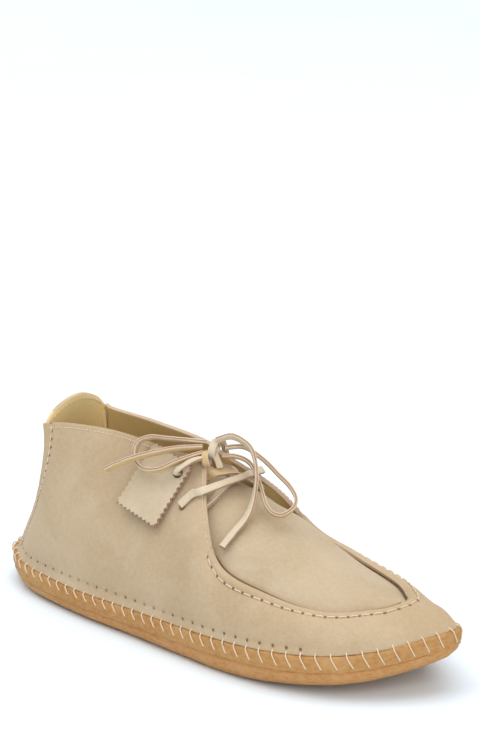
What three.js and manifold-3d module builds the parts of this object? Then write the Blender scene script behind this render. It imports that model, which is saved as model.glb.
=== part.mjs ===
// A men's suede moccasin chukka on a stitched crepe sole, right foot.
// Millimetres. +X points to the toe, +Z up, -Y is the outer side of the foot.
import * as THREE from 'three';
import { mergeVertices } from 'three/addons/utils/BufferGeometryUtils.js';
import Module from 'manifold-3d';

const wasm = await Module();
wasm.setup();

// ---------- driving dimensions ----------
const SHOE_LENGTH = 290;      // over the crepe, heel to toe
const BALL_WIDTH = 97;        // across the feather line at the ball of the foot
const COLLAR_HEIGHT = 98;     // highest point of the collar beside the heel
const LEATHER = 2;            // suede of the vamp, apron and heel piece
const GAP = 0.3;              // clearance between pieces that lie on each other
const MIDSOLE_THICK = 8.5;    // stitched crepe layer
const OUTSOLE_THICK = 7.5;    // cemented crepe layer under it
const LIP = 2.4;              // how far the stitched crepe stands out past the suede
const OUTSOLE_STEP = 1.3;     // how far the outsole's top edge is set back from the midsole
const UNDERCUT = 5.5;         // extra inset of the outsole at the ground
const INSOLE_THICK = 2.2;
const SOCK_THICK = 1.4;
const SEAM_LAP = 8;           // width of suede tucked under another piece
const LACE_WIDTH = 4.2;
const LACE_THICK = 1.8;
const EYELET = 5.2;           // diameter of the punched lace holes
const TAG_WIDTH = 29;
const TAG_HEIGHT = 37;
const TAG_LEAF = 1.2;
const TAG_TOOTH = 3;          // pitch of the pinked edge
const TAG_HOLE = 5.6;

// ---------- overall shape ----------
// The cage below was drawn on a last of these sizes and is stretched to the sizes above.
const LAST = { length: 290, width: 97, height: 98, sole: 16 };
const kx = SHOE_LENGTH / LAST.length;
const ky = BALL_WIDTH / LAST.width;
const kz = COLLAR_HEIGHT / LAST.height;
const SOLE = MIDSOLE_THICK + OUTSOLE_THICK;

// Four rails of the upper, station by station from the heel seam to the toe.
// top: x, outer half width, inner half width, z.  upper: x, half width, z.
// lower: x, outer y, inner y, z.  feather: x, outer y, inner y.
const STATIONS = [
  { top: [-107, 24.5, 24.5, 95.5], upper: [-102.5, 25.5, 70], lower: [-122, 19, 19, 42], feather: [-137.5, 14.5, 14.5] },
  { top: [-95, 18, 18, 97], upper: [-93, 27, 72], lower: [-104, 34, 33, 38], feather: [-116, 28, 27.5] },
  { top: [-63, 13.6, 13.6, 98], upper: [-62, 24, 74], lower: [-66, 42, 38, 40], feather: [-72, 37, 33] },
  { top: [-27, 12.5, 12.5, 95.6], upper: [-27, 24, 75], lower: [-28, 46, 36, 40], feather: [-30, 41, 31] },
  { top: [-8, 6.5, 6.5, 93.6], upper: [-9, 22, 82], lower: [-7, 48, 37, 42], feather: [-5, 44, 33.5] },
  { top: [10, 26, 26, 74.5], upper: [9, 38, 66], lower: [12, 50, 42, 40], feather: [14, 46, 38.3] },
  { top: [29, 37.7, 36.5, 53], upper: [29, 43, 48], lower: [32, 51, 48, 36], feather: [34, 48, 45] },
  { top: [57, 36.9, 33, 44.8], upper: [59, 41, 43], lower: [63, 48.5, 50, 33], feather: [66, 47.3, 49.2] },
  { top: [86, 29.8, 25.5, 39.4], upper: [89, 34, 40], lower: [95, 39.5, 42, 33], feather: [97, 38.5, 42] },
  { top: [103, 14.3, 11, 39.8], upper: [107.5, 19.5, 40.3], lower: [117.5, 22.5, 30, 34], feather: [119, 21.5, 29] },
  { top: [108, 7, 5.5, 41], upper: [116, 10.5, 41], lower: [131.5, 3.5, 20.5, 36], feather: [133, 3, 20] },
  { top: [109.5, 0, 0, 41.6], upper: [117.5, 0, 41.4], lower: [136.5, -10, 10, 37], feather: [138.5, -10, 10] },
];
const CORNER = 4;                       // station of the facing's top corner
const SEAM_START = 6;                   // station where the apron seam begins
const TIP = STATIONS.length - 1;
const LAST_S = 2 * TIP;                 // the same stations run back along the inner side

// Heel piece between the two quarters: middle line and a line beside it.
const HEEL_MID = { top: [-106, 0, 106.8], upper: [-110.5, 0, 76], lower: [-129.5, 0, 42], feather: [-145, 0] };
const HEEL_SIDE = { top: [-107.5, 14, 102.5], upper: [-107.5, 16, 74], lower: [-127.5, 11, 41], feather: [-142.8, 8] };

// Height of the top of the crepe and of the ground side along the shoe, on the last above.
const FOOTBED = [[-150, 17.8], [-115, 16.4], [-70, 16], [0, 18], [60, 20.3], [97, 22.6], [119, 26], [142, 34]];
const GROUND = [[-150, 11], [-130, 3], [-110, 0], [30, 0], [60, 1.8], [90, 5], [110, 8], [126, 13], [142, 21]];
// Crown of the apron and tongue along its middle.
const CREST = [[-18, 88], [-9, 84], [2, 80], [14, 76], [29, 71.5], [40, 66.8], [57, 59.5], [75, 52.6],
  [90, 46.8], [102, 43.2], [110, 41.4]];

// ---------- small maths ----------
const lerp = (a, b, t) => a + (b - a) * t;
const smooth = (t) => { const c = Math.min(1, Math.max(0, t)); return c * c * (3 - 2 * c); };
const V = (x, y, z) => new THREE.Vector3(x, y, z);

function spline(rows, u) {
  // Catmull-Rom through rows of numbers, one row per whole u, with mirrored ends
  const n = rows.length - 1;
  const i = Math.min(n - 1, Math.max(0, Math.floor(u)));
  const t = u - i;
  const row = (k) => {
    if (k < 0) return rows[0].map((v, c) => 2 * v - rows[1][c]);
    if (k > n) return rows[n].map((v, c) => 2 * v - rows[n - 1][c]);
    return rows[k];
  };
  const [a, b, c, d] = [row(i - 1), row(i), row(i + 1), row(i + 2)];
  return b.map((v, j) => 0.5 * (2 * v + (c[j] - a[j]) * t + (2 * a[j] - 5 * v + 4 * c[j] - d[j]) * t * t
    + (3 * v - a[j] - 3 * c[j] + d[j]) * t * t * t));
}

function along(table, x) {
  // smooth height read from [x, z] pairs
  const n = table.length - 1;
  let i = 0;
  while (i < n - 1 && x > table[i + 1][0]) i += 1;
  const t = (x - table[i][0]) / (table[i + 1][0] - table[i][0]);
  const slope = (k) => {
    const a = table[Math.max(0, k - 1)];
    const b = table[Math.min(n, k + 1)];
    return (b[1] - a[1]) / (b[0] - a[0]);
  };
  const span = table[i + 1][0] - table[i][0];
  const t2 = t * t;
  const t3 = t2 * t;
  return (2 * t3 - 3 * t2 + 1) * table[i][1] + (t3 - 2 * t2 + t) * span * slope(i)
    + (-2 * t3 + 3 * t2) * table[i + 1][1] + (t3 - t2) * span * slope(i + 1);
}

const footbed = (x) => along(FOOTBED, x / kx) - LAST.sole + SOLE;
const ground = (x) => Math.max(0, along(GROUND, x / kx));
const crest = (x) => along(CREST, x / kx) * kz;
const middle = (x) => 13 * ky * Math.pow(Math.max(x / kx - 10, 0) / 135, 1.6);

// ---------- surface of the upper ----------
function rails(st, side) {
  // side -1 is the outer side, +1 the inner side
  const skewed = ([x, outer, inner, z]) => [
    x * kx, middle(x * kx) + (side < 0 ? -outer : inner) * ky, z * kz];
  const own = ([x, outer, inner, z]) => [x * kx, (side < 0 ? -outer : inner) * ky, z * kz];
  const foot = own([...st.feather, 0]);
  foot[2] = footbed(foot[0]) + GAP;
  const [ux, uw, uz] = st.upper;
  return [...foot, ...own(st.lower), ...skewed([ux, uw, uw, uz]), ...skewed(st.top)];
}

const CAGE = [];
for (let i = 0; i <= LAST_S; i += 1) {
  const outer = i <= TIP;
  CAGE.push(rails(STATIONS[outer ? i : LAST_S - i], outer ? -1 : 1));
}
// the top edge turns sharply at both facing corners, so the cage is split there
const RUNS = [[0, CORNER], [CORNER, LAST_S - CORNER], [LAST_S - CORNER, LAST_S]]
  .map(([from, to]) => ({ from, rows: CAGE.slice(from, to + 1) }));

function cageAt(s) {
  let run = RUNS[1];
  if (s < CORNER) run = RUNS[0];
  if (s > LAST_S - CORNER) run = RUNS[2];
  return spline(run.rows, s - run.from);
}

function bezier(c, t) {
  const k = [(1 - t) ** 3, 3 * t * (1 - t) ** 2, 3 * t * t * (1 - t), t ** 3];
  return V(...[0, 1, 2].map((a) => k[0] * c[a] + k[1] * c[3 + a] + k[2] * c[6 + a] + k[3] * c[9 + a]));
}

const skin = (s, t) => bezier(cageAt(s), t);

function outward(s, t) {
  const d = 0.02;
  let lo = Math.max(0, s - d);
  let hi = Math.min(LAST_S, s + d);
  // stay on one side of a facing corner
  for (const c of [CORNER, LAST_S - CORNER]) {
    if (lo < c && s >= c) lo = c;
    if (hi > c && s < c) hi = c;
  }
  if (hi - lo < d / 2) hi = lo + d;
  const ds = skin(hi, t).sub(skin(lo, t));
  const dt = skin(s, Math.min(1, t + d)).sub(skin(s, Math.max(0, t - d)));
  return ds.cross(dt).normalize();
}

const under = (s, t, depth) => skin(s, t).addScaledVector(outward(s, t), -depth);

function tBelowTop(s, distance) {
  // t of the point that lies a distance down the wall from its top edge
  let length = 0;
  let last = skin(s, 1);
  const step = 0.02;
  for (let t = 1 - step; t > 0; t -= step) {
    const p = skin(s, t);
    const d = p.distanceTo(last);
    if (length + d >= distance) return t + step * (1 - (distance - length) / d);
    length += d;
    last = p;
  }
  return 0;
}

// ---------- solids ----------
function closedGeometry(positions) {
  // positions: flat list of triangle corners; drops collapsed faces and turns the shell outwards
  let geometry = new THREE.BufferGeometry();
  geometry.setAttribute('position', new THREE.Float32BufferAttribute(positions, 3));
  geometry = mergeVertices(geometry, 1e-3);
  const index = geometry.index.array;
  const keep = [];
  for (let i = 0; i < index.length; i += 3) {
    const [a, b, c] = [index[i], index[i + 1], index[i + 2]];
    if (a !== b && b !== c && a !== c) keep.push(a, b, c);
  }
  const p = geometry.attributes.position;
  let volume = 0;
  const [a, b, c] = [V(), V(), V()];
  for (let i = 0; i < keep.length; i += 3) {
    a.fromBufferAttribute(p, keep[i]);
    b.fromBufferAttribute(p, keep[i + 1]);
    c.fromBufferAttribute(p, keep[i + 2]);
    volume += a.dot(b.cross(c));
  }
  if (volume < 0) {
    for (let i = 0; i < keep.length; i += 3) [keep[i + 1], keep[i + 2]] = [keep[i + 2], keep[i + 1]];
  }
  geometry.setIndex(keep);
  return geometry;
}

function loft(loops, capStart, capEnd) {
  // skin over closed loops of equal count; a folded loop at an end needs no cap
  const out = [];
  const tri = (p, q, r) => out.push(...p.toArray(), ...q.toArray(), ...r.toArray());
  const n = loops[0].length;
  for (let k = 0; k + 1 < loops.length; k += 1) {
    for (let i = 0; i < n; i += 1) {
      const j = (i + 1) % n;
      tri(loops[k][i], loops[k + 1][i], loops[k + 1][j]);
      tri(loops[k][i], loops[k + 1][j], loops[k][j]);
    }
  }
  const cap = (loop, flip) => {
    for (let i = 0; i + 1 < n - 1 - i; i += 1) {
      const [a, b, c, d] = [loop[i], loop[i + 1], loop[n - 2 - i], loop[n - 1 - i]];
      if (flip) { tri(a, c, b); tri(a, d, c); } else { tri(a, b, c); tri(a, c, d); }
    }
  };
  if (capStart) cap(loops[0], false);
  if (capEnd) cap(loops[loops.length - 1], true);
  return closedGeometry(out);
}

function toManifold(geometry) {
  const plain = geometry.clone();
  for (const name of ['normal', 'uv']) plain.deleteAttribute(name);
  const merged = mergeVertices(plain, 1e-4);
  return new wasm.Manifold(new wasm.Mesh({
    numProp: 3,
    vertProperties: new Float32Array(merged.attributes.position.array),
    triVerts: new Uint32Array(merged.index.array),
  }));
}

function fromManifold(solid) {
  const mesh = solid.getMesh();
  const geometry = new THREE.BufferGeometry();
  geometry.setAttribute('position', new THREE.BufferAttribute(new Float32Array(mesh.vertProperties), 3));
  geometry.setIndex([...mesh.triVerts]);
  return geometry;
}

const group = new THREE.Group();

function add(name, geometry, color, roughness) {
  const finished = geometry.index ? geometry.toNonIndexed() : geometry;
  finished.computeVertexNormals();
  const mesh = new THREE.Mesh(finished, new THREE.MeshStandardMaterial({ color, roughness, metalness: 0 }));
  mesh.name = name;
  group.add(mesh);
  return mesh;
}

const SUEDE = 0xcfbb9e;
const GRAIN = 0xc4a46f;
const CREPE = 0xbd9263;
const CORD_COLOR = 0xd0b590;
const TAG_COLOR = 0xd6c4a7;
const ROUGH = 0.9;

// ---------- sole layers ----------
const RIBS = 44;

function featherOutline() {
  // closed outline of the feather line: outer side heel to toe, and the same ribs on the inner side
  const heel = [[HEEL_MID, 0], [HEEL_SIDE, 1]].map(([h, side]) => [h.feather[0] * kx, side * h.feather[1] * ky]);
  const half = (sign) => {
    const rows = heel.map(([x, y]) => [x, sign * y]);
    for (let i = 0; i <= TIP; i += 1) {
      const c = CAGE[sign < 0 ? i : LAST_S - i];
      rows.push([c[0], c[1]]);
    }
    return rows;
  };
  const outer = half(-1);
  const inner = half(1);
  const ring = [...outer, ...inner.slice(1, -1).reverse()];
  const count = ring.length;
  const closed = (u) => {
    const rows = [];
    const i = Math.floor(u);
    for (let k = -1; k <= 2; k += 1) rows.push(ring[(i + k + count) % count]);
    return spline(rows, 1 + u - i);
  };
  const span = outer.length - 1;
  const sides = { outer: [], inner: [] };
  for (let k = 0; k <= RIBS; k += 1) {
    const u = (span * k) / RIBS;
    const place = (v) => {
      const w = (v + count) % count;
      const [p, q] = [closed((w - 0.01 + count) % count), closed((w + 0.01) % count)];
      const tangent = new THREE.Vector2(q[0] - p[0], q[1] - p[1]).normalize();
      const at = closed(w);
      return { x: at[0], y: at[1], nx: tangent.y, ny: -tangent.x };
    };
    sides.outer.push(place(u));
    sides.inner.push(place(-u));
  }
  return sides;
}

const OUTLINE = featherOutline();
const edge = (p, out) => [p.x + p.nx * out, p.y + p.ny * out];

function soleLayer(levels, ribPoints) {
  // levels: from the underside to the top, each { out, z(x) } with out measured from the feather line
  const loops = [];
  for (let k = 0; k <= RIBS; k += 1) {
    const o = OUTLINE.outer[k];
    const i = OUTLINE.inner[k];
    const point = ([x, y], level) => V(x, y, level.z(x));
    const across = (level) => {
      const [a, b] = [edge(o, level.out), edge(i, level.out)];
      const row = [];
      for (let m = 1; m < ribPoints; m += 1) {
        const f = m / ribPoints;
        row.push(point([lerp(a[0], b[0], f), lerp(a[1], b[1], f)], level));
      }
      return row;
    };
    const bottom = levels[0];
    const top = levels[levels.length - 1];
    loops.push([
      ...levels.map((level) => point(edge(o, level.out), level)).reverse(),
      ...across(bottom),
      ...levels.map((level) => point(edge(i, level.out), level)),
      ...across(top).reverse(),
    ]);
  }
  return loft(loops, false, false);
}

const midTop = (x) => footbed(x);
const midBottom = (x) => footbed(x) - MIDSOLE_THICK;
add('crepe_midsole', soleLayer([
  { out: LIP - 1.2, z: midBottom },
  { out: LIP, z: (x) => midBottom(x) + MIDSOLE_THICK * 0.3 },
  { out: LIP, z: (x) => midBottom(x) + MIDSOLE_THICK * 0.65 },
  { out: LIP - 1.1, z: midTop },
], 4), CREPE, ROUGH);

const outTop = (x) => midBottom(x) - GAP;
const outBottom = (x) => Math.min(ground(x), outTop(x) - 1.6);
const outsoleLevel = (f, out) => ({ out, z: (x) => lerp(outBottom(x), outTop(x), f) });
add('crepe_outsole', soleLayer([
  outsoleLevel(0, LIP - OUTSOLE_STEP - UNDERCUT),
  outsoleLevel(0.25, LIP - OUTSOLE_STEP - UNDERCUT * 0.45),
  outsoleLevel(0.65, LIP - OUTSOLE_STEP),
  outsoleLevel(1, LIP - OUTSOLE_STEP - 0.4),
], 4), CREPE, ROUGH);

const insideWall = -(LEATHER * 2 + GAP * 3 + 1.3);
const plate = (bottomLift, thick, inset) => [
  { out: inset, z: (x) => footbed(x) + bottomLift },
  { out: inset, z: (x) => footbed(x) + bottomLift + thick },
];
add('insole_board', soleLayer(plate(GAP, INSOLE_THICK, insideWall), 2), 0xa98a5f, ROUGH);
add('sock_liner', soleLayer(plate(INSOLE_THICK + GAP * 2, SOCK_THICK, insideWall - 0.6), 2), GRAIN, 0.6);

// ---------- vamp and quarters in one piece ----------
function column(s, rows, outerDepth, innerDepth, tFrom, tTo) {
  const outer = [];
  const inner = [];
  for (let r = 0; r <= rows; r += 1) {
    const t = lerp(tFrom, tTo, r / rows);
    outer.push(under(s, t, outerDepth));
    inner.push(under(s, t, innerDepth));
  }
  const floor = footbed(outer[0].x) + GAP;
  if (tFrom === 0) {
    outer[0].z = floor;
    inner[0].z = footbed(inner[0].x) + GAP;
  }
  return [...outer, ...inner.reverse()];
}

// station along the upper and distance down from its top edge: upper pair, lower pair
const EYELETS = [{ s: 3.56, down: 11.8 }, { s: 4.06, down: 26.6 }];
const WALL_ROWS = 7;
const wallLoops = [];
for (let s = 0; s < LAST_S; s += 1) {
  const fine = s >= 9 && s < LAST_S - 9 ? 4 : 3;
  for (let k = 0; k < fine; k += 1) {
    wallLoops.push(column(s + k / fine, WALL_ROWS, 0, LEATHER, 0, 1));
  }
}
wallLoops.push(column(LAST_S, WALL_ROWS, 0, LEATHER, 0, 1));

function eyelet(spec, side) {
  const s = side < 0 ? spec.s : LAST_S - spec.s;
  const t = tBelowTop(s, spec.down);
  return { at: skin(s, t), normal: outward(s, t) };
}

let upper = toManifold(loft(wallLoops, true, true));
for (const spec of EYELETS) {
  for (const side of [-1, 1]) {
    const hole = eyelet(spec, side);
    const drill = new THREE.CylinderGeometry(EYELET / 2, EYELET / 2, LEATHER * 6, 12);
    drill.applyQuaternion(new THREE.Quaternion().setFromUnitVectors(V(0, 1, 0), hole.normal));
    drill.translate(hole.at.x, hole.at.y, hole.at.z);
    upper = upper.subtract(toManifold(drill));
  }
}
add('vamp_and_quarters', fromManifold(upper), SUEDE, ROUGH);

// ---------- heel piece ----------
const heelDepth = LEATHER + 3 * GAP;
function heelRails(h, side) {
  const scale = ([x, w, z]) => [x * kx, side * w * ky, z * kz];
  const foot = scale([...h.feather, 0]);
  foot[2] = footbed(foot[0]) + GAP;
  return [...foot, ...scale(h.lower), ...scale(h.upper), ...scale(h.top)];
}

function heelSurface(u, t) {
  // u runs 0..6 from under the outer quarter to under the inner quarter
  const lap = 1 / 3;
  const tucked = t * 0.97;
  const rows = [
    under(lap, tucked, heelDepth),
    under(0, lerp(tucked, t, 0.5), heelDepth),
    bezier(heelRails(HEEL_SIDE, -1), t),
    bezier(heelRails(HEEL_MID, 0), t),
    bezier(heelRails(HEEL_SIDE, 1), t),
    under(LAST_S, lerp(tucked, t, 0.5), heelDepth),
    under(LAST_S - lap, tucked, heelDepth),
  ].map((p) => p.toArray());
  return V(...spline(rows, u));
}

function heelPoint(u, t, depth) {
  const d = 0.03;
  const du = heelSurface(Math.min(6, u + d), t).sub(heelSurface(Math.max(0, u - d), t));
  const dt = heelSurface(u, Math.min(1, t + d)).sub(heelSurface(u, Math.max(0, t - d)));
  const p = heelSurface(u, t).addScaledVector(du.cross(dt).normalize(), depth);
  if (t === 0) p.z = footbed(p.x) + GAP;
  return p;
}

const heelLoops = [];
for (const u of [0, 1, 1.35, 1.7, 2, 2.5, 3, 3.5, 4, 4.3, 4.65, 5, 6]) {
  const outer = [];
  const inner = [];
  for (let r = 0; r <= WALL_ROWS; r += 1) {
    outer.push(heelPoint(u, r / WALL_ROWS, 0));
    inner.push(heelPoint(u, r / WALL_ROWS, LEATHER));
  }
  heelLoops.push([...outer, ...inner.reverse()]);
}
add('heel_piece', loft(heelLoops, true, true), SUEDE, ROUGH);

// ---------- apron and tongue in one piece ----------
const APRON_START = 3.6;
const tongueDepth = (s) => LEATHER + GAP + (LACE_THICK + 11 * GAP) * smooth((6.4 - s) / 0.9);
const flapIn = (s) => SEAM_LAP + 16 * smooth((SEAM_START - s) / 2.2);    // margin under the upper
const flapOut = (s) => 15 * smooth((SEAM_START - s) / 2);                // where it leaves the upper
const CROWN_STEPS = 8;

function apronRow(s, depth, drop) {
  const row = [];
  const marks = [flapIn(s), lerp(flapIn(s), flapOut(s), 0.5), flapOut(s)];
  const flank = (station) => marks.map((m) => under(station, tBelowTop(station, m), depth));
  const outer = flank(s);
  const inner = flank(LAST_S - s);
  const [a, b] = [outer[2], inner[2]];
  const rise = Math.max(0, crest((a.x + b.x) / 2) - drop - (a.z + b.z) / 2);
  row.push(...outer);
  for (let k = 1; k < CROWN_STEPS; k += 1) {
    const f = k / CROWN_STEPS;
    const p = a.clone().lerp(b, f);
    p.z += rise * Math.pow(1 - (2 * f - 1) ** 2, 0.85);
    row.push(p);
  }
  row.push(...inner.reverse());
  return row;
}

const apronLoops = [];
for (let s = APRON_START; s < TIP + 1e-6; s += s < 8.9 ? 0.4 : 0.25) {
  const at = Math.min(s, TIP);
  const depth = tongueDepth(at);
  apronLoops.push([...apronRow(at, depth, 0), ...apronRow(at, depth + LEATHER, LEATHER).reverse()]);
}
apronLoops.push([...apronRow(TIP, tongueDepth(TIP), 0),
  ...apronRow(TIP, tongueDepth(TIP) + LEATHER, LEATHER).reverse()]);
add('apron_and_tongue', loft(apronLoops, true, false), SUEDE, ROUGH);

// ---------- lace ----------
function ribbon(points, widths, width = LACE_WIDTH, thick = LACE_THICK) {
  // flat strap along points; widths gives the direction of its broad side at each point
  const path = new THREE.CatmullRomCurve3(points.map((p) => V(...p)));
  const hints = new THREE.CatmullRomCurve3(widths.map((p) => V(...p)));
  const count = Math.max(5, Math.round(path.getLength() / (width * 1.1)));
  const loops = [];
  const [w, h] = [width / 2, thick / 2];
  const corner = h * 0.55;
  for (let k = 0; k <= count; k += 1) {
    const f = k / count;
    const u = path.getUtoTmapping(f, null);
    const at = path.getPoint(u);
    const tangent = path.getTangent(u);
    const across = hints.getPoint(u);
    across.addScaledVector(tangent, -across.dot(tangent)).normalize();
    const normal = tangent.clone().cross(across);
    const place = (x, y) => at.clone().addScaledVector(across, x).addScaledVector(normal, y);
    loops.push([[-w, corner], [-w + corner, h], [w - corner, h], [w, corner],
      [w, -corner], [w - corner, -h], [-w + corner, -h], [-w, -corner]].map(([x, y]) => place(x, y)));
  }
  return loft(loops, true, true);
}

const KNOT = [-5, -4, 98.3];
const KNOT_SIZE = [4.2, 4.2, 4.2];
const outFace = LACE_THICK / 2 + GAP * 3;
const inFace = LEATHER + LACE_THICK / 2 + GAP * 4;
const lift = (s, down, out) => under(s, tBelowTop(s, down), -out).toArray();
const atEyelet = (row, side, out) => {
  const e = EYELETS[row];
  return lift(side < 0 ? e.s : LAST_S - e.s, e.down, out);
};
const bySide = (side, s) => (side < 0 ? s : LAST_S - s);
const tongueTop = (x, y, above) => [x, y, crest(x) + LACE_THICK / 2 + GAP + above];
const ALONG = [1, 0, -0.4];

const barSide = (side) => [
  atEyelet(1, side, outFace), lift(bySide(side, 4.3), 12, outFace + 0.3), lift(bySide(side, 4.66), 1, outFace + 0.9),
];
add('lace_lower_bar', ribbon([
  ...barSide(-1), tongueTop(7, -9, 4.6), tongueTop(8, 0, 5.4), tongueTop(8, 9, 5.6), ...barSide(1).reverse(),
], [ALONG, ALONG, [1, 0.3, -0.6], ALONG, ALONG, ALONG, [1, -0.3, -0.6], ALONG, ALONG]), CORD_COLOR, 0.8);

for (const [name, side, over] of [['lace_cross_near', -1, 0.3], ['lace_cross_far', 1, LACE_THICK + 9 * GAP]]) {
  add(name, ribbon([
    atEyelet(1, side, -inFace), lift(bySide(side, 4.45), 14, -inFace - 0.2), lift(bySide(side, 4.78), 1, -inFace - 0.8),
    tongueTop(3.4, side * 4, over), tongueTop(-0.5, -side * 7, over + 0.8), lift(bySide(-side, 4.1), 6, -inFace - 0.9),
    atEyelet(0, -side, -inFace - 0.6),
  ], [[1, 0, 0.6], [1, 0, 0.6], [1, 0, 0.3], [1, side * 0.5, -0.3], [1, side * 0.5, -0.3], [1, 0, 0.3], [1, 0, 0.6]]),
  CORD_COLOR, 0.8);
}

add('lace_riser_near', ribbon([
  [-14.8, -22.4, 88.4], [-11.8, -21.4, 91.2], [-9, -17.6, 94], [-7.2, -12.8, 94.9], [-6, -8.8, 94.8],
], [[1, 0.4, 0.4], [1, 0.4, 0.4], [1, 0.4, 0], [1, 0.3, 0], [1, 0, 0.2]], LACE_WIDTH * 0.7), CORD_COLOR, 0.8);
add('lace_riser_far', ribbon([
  atEyelet(0, 1, outFace), [-11.5, 10.4, 96.2], [-8.4, 4.4, 99.6], [-7.5, 0.8, 99.4],
], [[1, 0, 0.8], [1, 0, 0.4], [1, 0, 0.2], [1, 0, 0.2]], LACE_WIDTH * 0.8), CORD_COLOR, 0.8);

const knot = new THREE.SphereGeometry(1, 12, 8);
knot.scale(...KNOT_SIZE);
knot.translate(...KNOT);
add('lace_knot', closedGeometry([...knot.toNonIndexed().attributes.position.array]), CORD_COLOR, 0.8);

const LOOP_LEFT = [[-9, -5.4, 101.4], [-17, -12, 102.4], [-27, -14.8, 101.8], [-36.5, -16.5, 101], [-42.5, -19.5, 98],
  [-42.3, -23.3, 93.5], [-37, -26.8, 89.3], [-29.5, -28.2, 87.8], [-21, -26.8, 89.8], [-14.5, -20.8, 93.8],
  [-8.5, -9, 96.6]];
const LOOP_RIGHT = [[0.2, -2, 99.6], [6, 5.5, 99.6], [12.5, 7.8, 96.8], [20, 8.8, 92.8], [27.6, 8.5, 88.4],
  [34.9, 8.2, 84.4], [40.4, 6.7, 80.2], [42.8, 3.3, 76.9], [42.8, -0.9, 74.8], [41, -4.9, 73.4], [37.2, -7, 74.2],
  [32.4, -6.4, 77], [27.1, -3.4, 81.8], [20.6, 0.4, 87.4], [12.5, 3.2, 93], [6, 0.5, 95.6], [0, -3.2, 95.4]];
const END_LEFT = [[-9.4, -8.2, 99.2], [-17.5, -18.3, 99.2], [-26.5, -25, 96.8], [-36, -30.4, 93.2],
  [-44, -33, 89.2], [-51, -35, 85]];
const END_RIGHT = [[-2.6, -4.6, 103.6], [4.4, -0.4, 106], [14.2, 1.6, 101.8], [20.5, -0.9, 94.5], [24.1, -4.7, 86.5],
  [26, -10, 77.6], [27.4, -16.8, 71.6], [26.2, -24, 66], [24.6, -31, 59.8]];
const standing = [0, -0.8, 0.6];
const facingUp = [0.45, -0.45, 0.77];
const steady = (points, way) => points.map(() => way);
add('lace_loop_left', ribbon(LOOP_LEFT, steady(LOOP_LEFT, standing)), CORD_COLOR, 0.8);
add('lace_loop_right', ribbon(LOOP_RIGHT, steady(LOOP_RIGHT, facingUp)), CORD_COLOR, 0.8);
add('lace_end_left', ribbon(END_LEFT, steady(END_LEFT, standing)), CORD_COLOR, 0.8);
// the right end turns from edge-on at the knot to flat on the apron
add('lace_end_right', ribbon(END_RIGHT, END_RIGHT.map((_, i) => [
  lerp(0.45, 1, smooth((i - 3) / 4)), lerp(-0.45, 0.3, smooth((i - 3) / 4)), lerp(0.77, 0.3, smooth((i - 3) / 4)),
])), CORD_COLOR, 0.8);

// ---------- hang tag: two pinked leaves on the near riser ----------
const TAG_NORMAL = V(0.1, -0.84, 0.53).normalize();
const TAG_TILT = -17;                     // degrees the tag leans back from straight down
const TAG_OFF = 1.4;                      // back leaf to the suede at the eyelet
const TAG_HOLE_TOP = 7;                   // hole centre to the top edge
const TAG_HOLE_SIDE = 5.4;                // hole centre to the front edge
const tagPivot = eyelet(EYELETS[0], -1).at;

function tagLeaf(offset) {
  const shape = new THREE.Shape();
  const [left, right] = [TAG_HOLE_SIDE - TAG_WIDTH, TAG_HOLE_SIDE];
  const [low, high] = [TAG_HOLE_TOP - TAG_HEIGHT, TAG_HOLE_TOP];
  const corners = [[left, high], [left, low], [right, low], [right, high]];
  corners.forEach(([x0, y0], i) => {
    const [x1, y1] = corners[(i + 1) % 4];
    const length = Math.hypot(x1 - x0, y1 - y0);
    const teeth = Math.round(length / TAG_TOOTH);
    const [ux, uy] = [(x1 - x0) / length, (y1 - y0) / length];
    for (let k = 0; k < teeth; k += 1) {
      for (const [f, inset] of [[0, 0], [0.5, TAG_TOOTH * 0.4]]) {
        const d = (k + f) * length / teeth;
        const p = [x0 + ux * d - uy * inset, y0 + uy * d + ux * inset];
        if (i === 0 && k === 0 && f === 0) shape.moveTo(...p); else shape.lineTo(...p);
      }
    }
  });
  const hole = new THREE.Path();
  hole.absarc(0, 0, TAG_HOLE / 2, 0, Math.PI * 2, true);
  shape.holes.push(hole);
  const leaf = new THREE.ExtrudeGeometry(shape, { depth: TAG_LEAF, bevelEnabled: false, curveSegments: 6 });
  const up = V(0, 0, 1).addScaledVector(TAG_NORMAL, -TAG_NORMAL.z).normalize();
  const across = up.clone().cross(TAG_NORMAL);
  const frame = new THREE.Matrix4().makeBasis(across, up, TAG_NORMAL);
  leaf.rotateZ(TAG_TILT * Math.PI / 180);
  leaf.applyMatrix4(frame);
  const at = tagPivot.clone().addScaledVector(TAG_NORMAL, offset);
  leaf.translate(at.x, at.y, at.z);
  return leaf;
}

add('hang_tag_back', tagLeaf(TAG_OFF), TAG_COLOR, ROUGH);
add('hang_tag_front', tagLeaf(TAG_OFF + TAG_LEAF + GAP), TAG_COLOR, ROUGH);

// origin on the ground under the middle of the shoe's box, without the lace that lies free
const FREE_CORD = /^lace_(knot|loop|end)/;
const box = new THREE.Box3();
for (const mesh of group.children) {
  if (!FREE_CORD.test(mesh.name)) box.expandByObject(mesh);
}
const centre = box.getCenter(V(0, 0, 0));
group.position.set(-centre.x, -centre.y, -box.min.z);

export default group;
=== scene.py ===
"""A suede moccasin chukka on a stitched crepe sole, built around its CAD frame.

Lengths in the shape tables are millimetres on the last the shoe is made on. Everything placed in the
scene is metres in the frame of the CAD model: +X to the toe, +Y to the inner side of the foot, +Z up.
"""
import math

import bmesh
import bpy
import numpy as np
from bpy.props import FloatProperty, FloatVectorProperty, PointerProperty
from mathutils import Matrix, Vector


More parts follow.
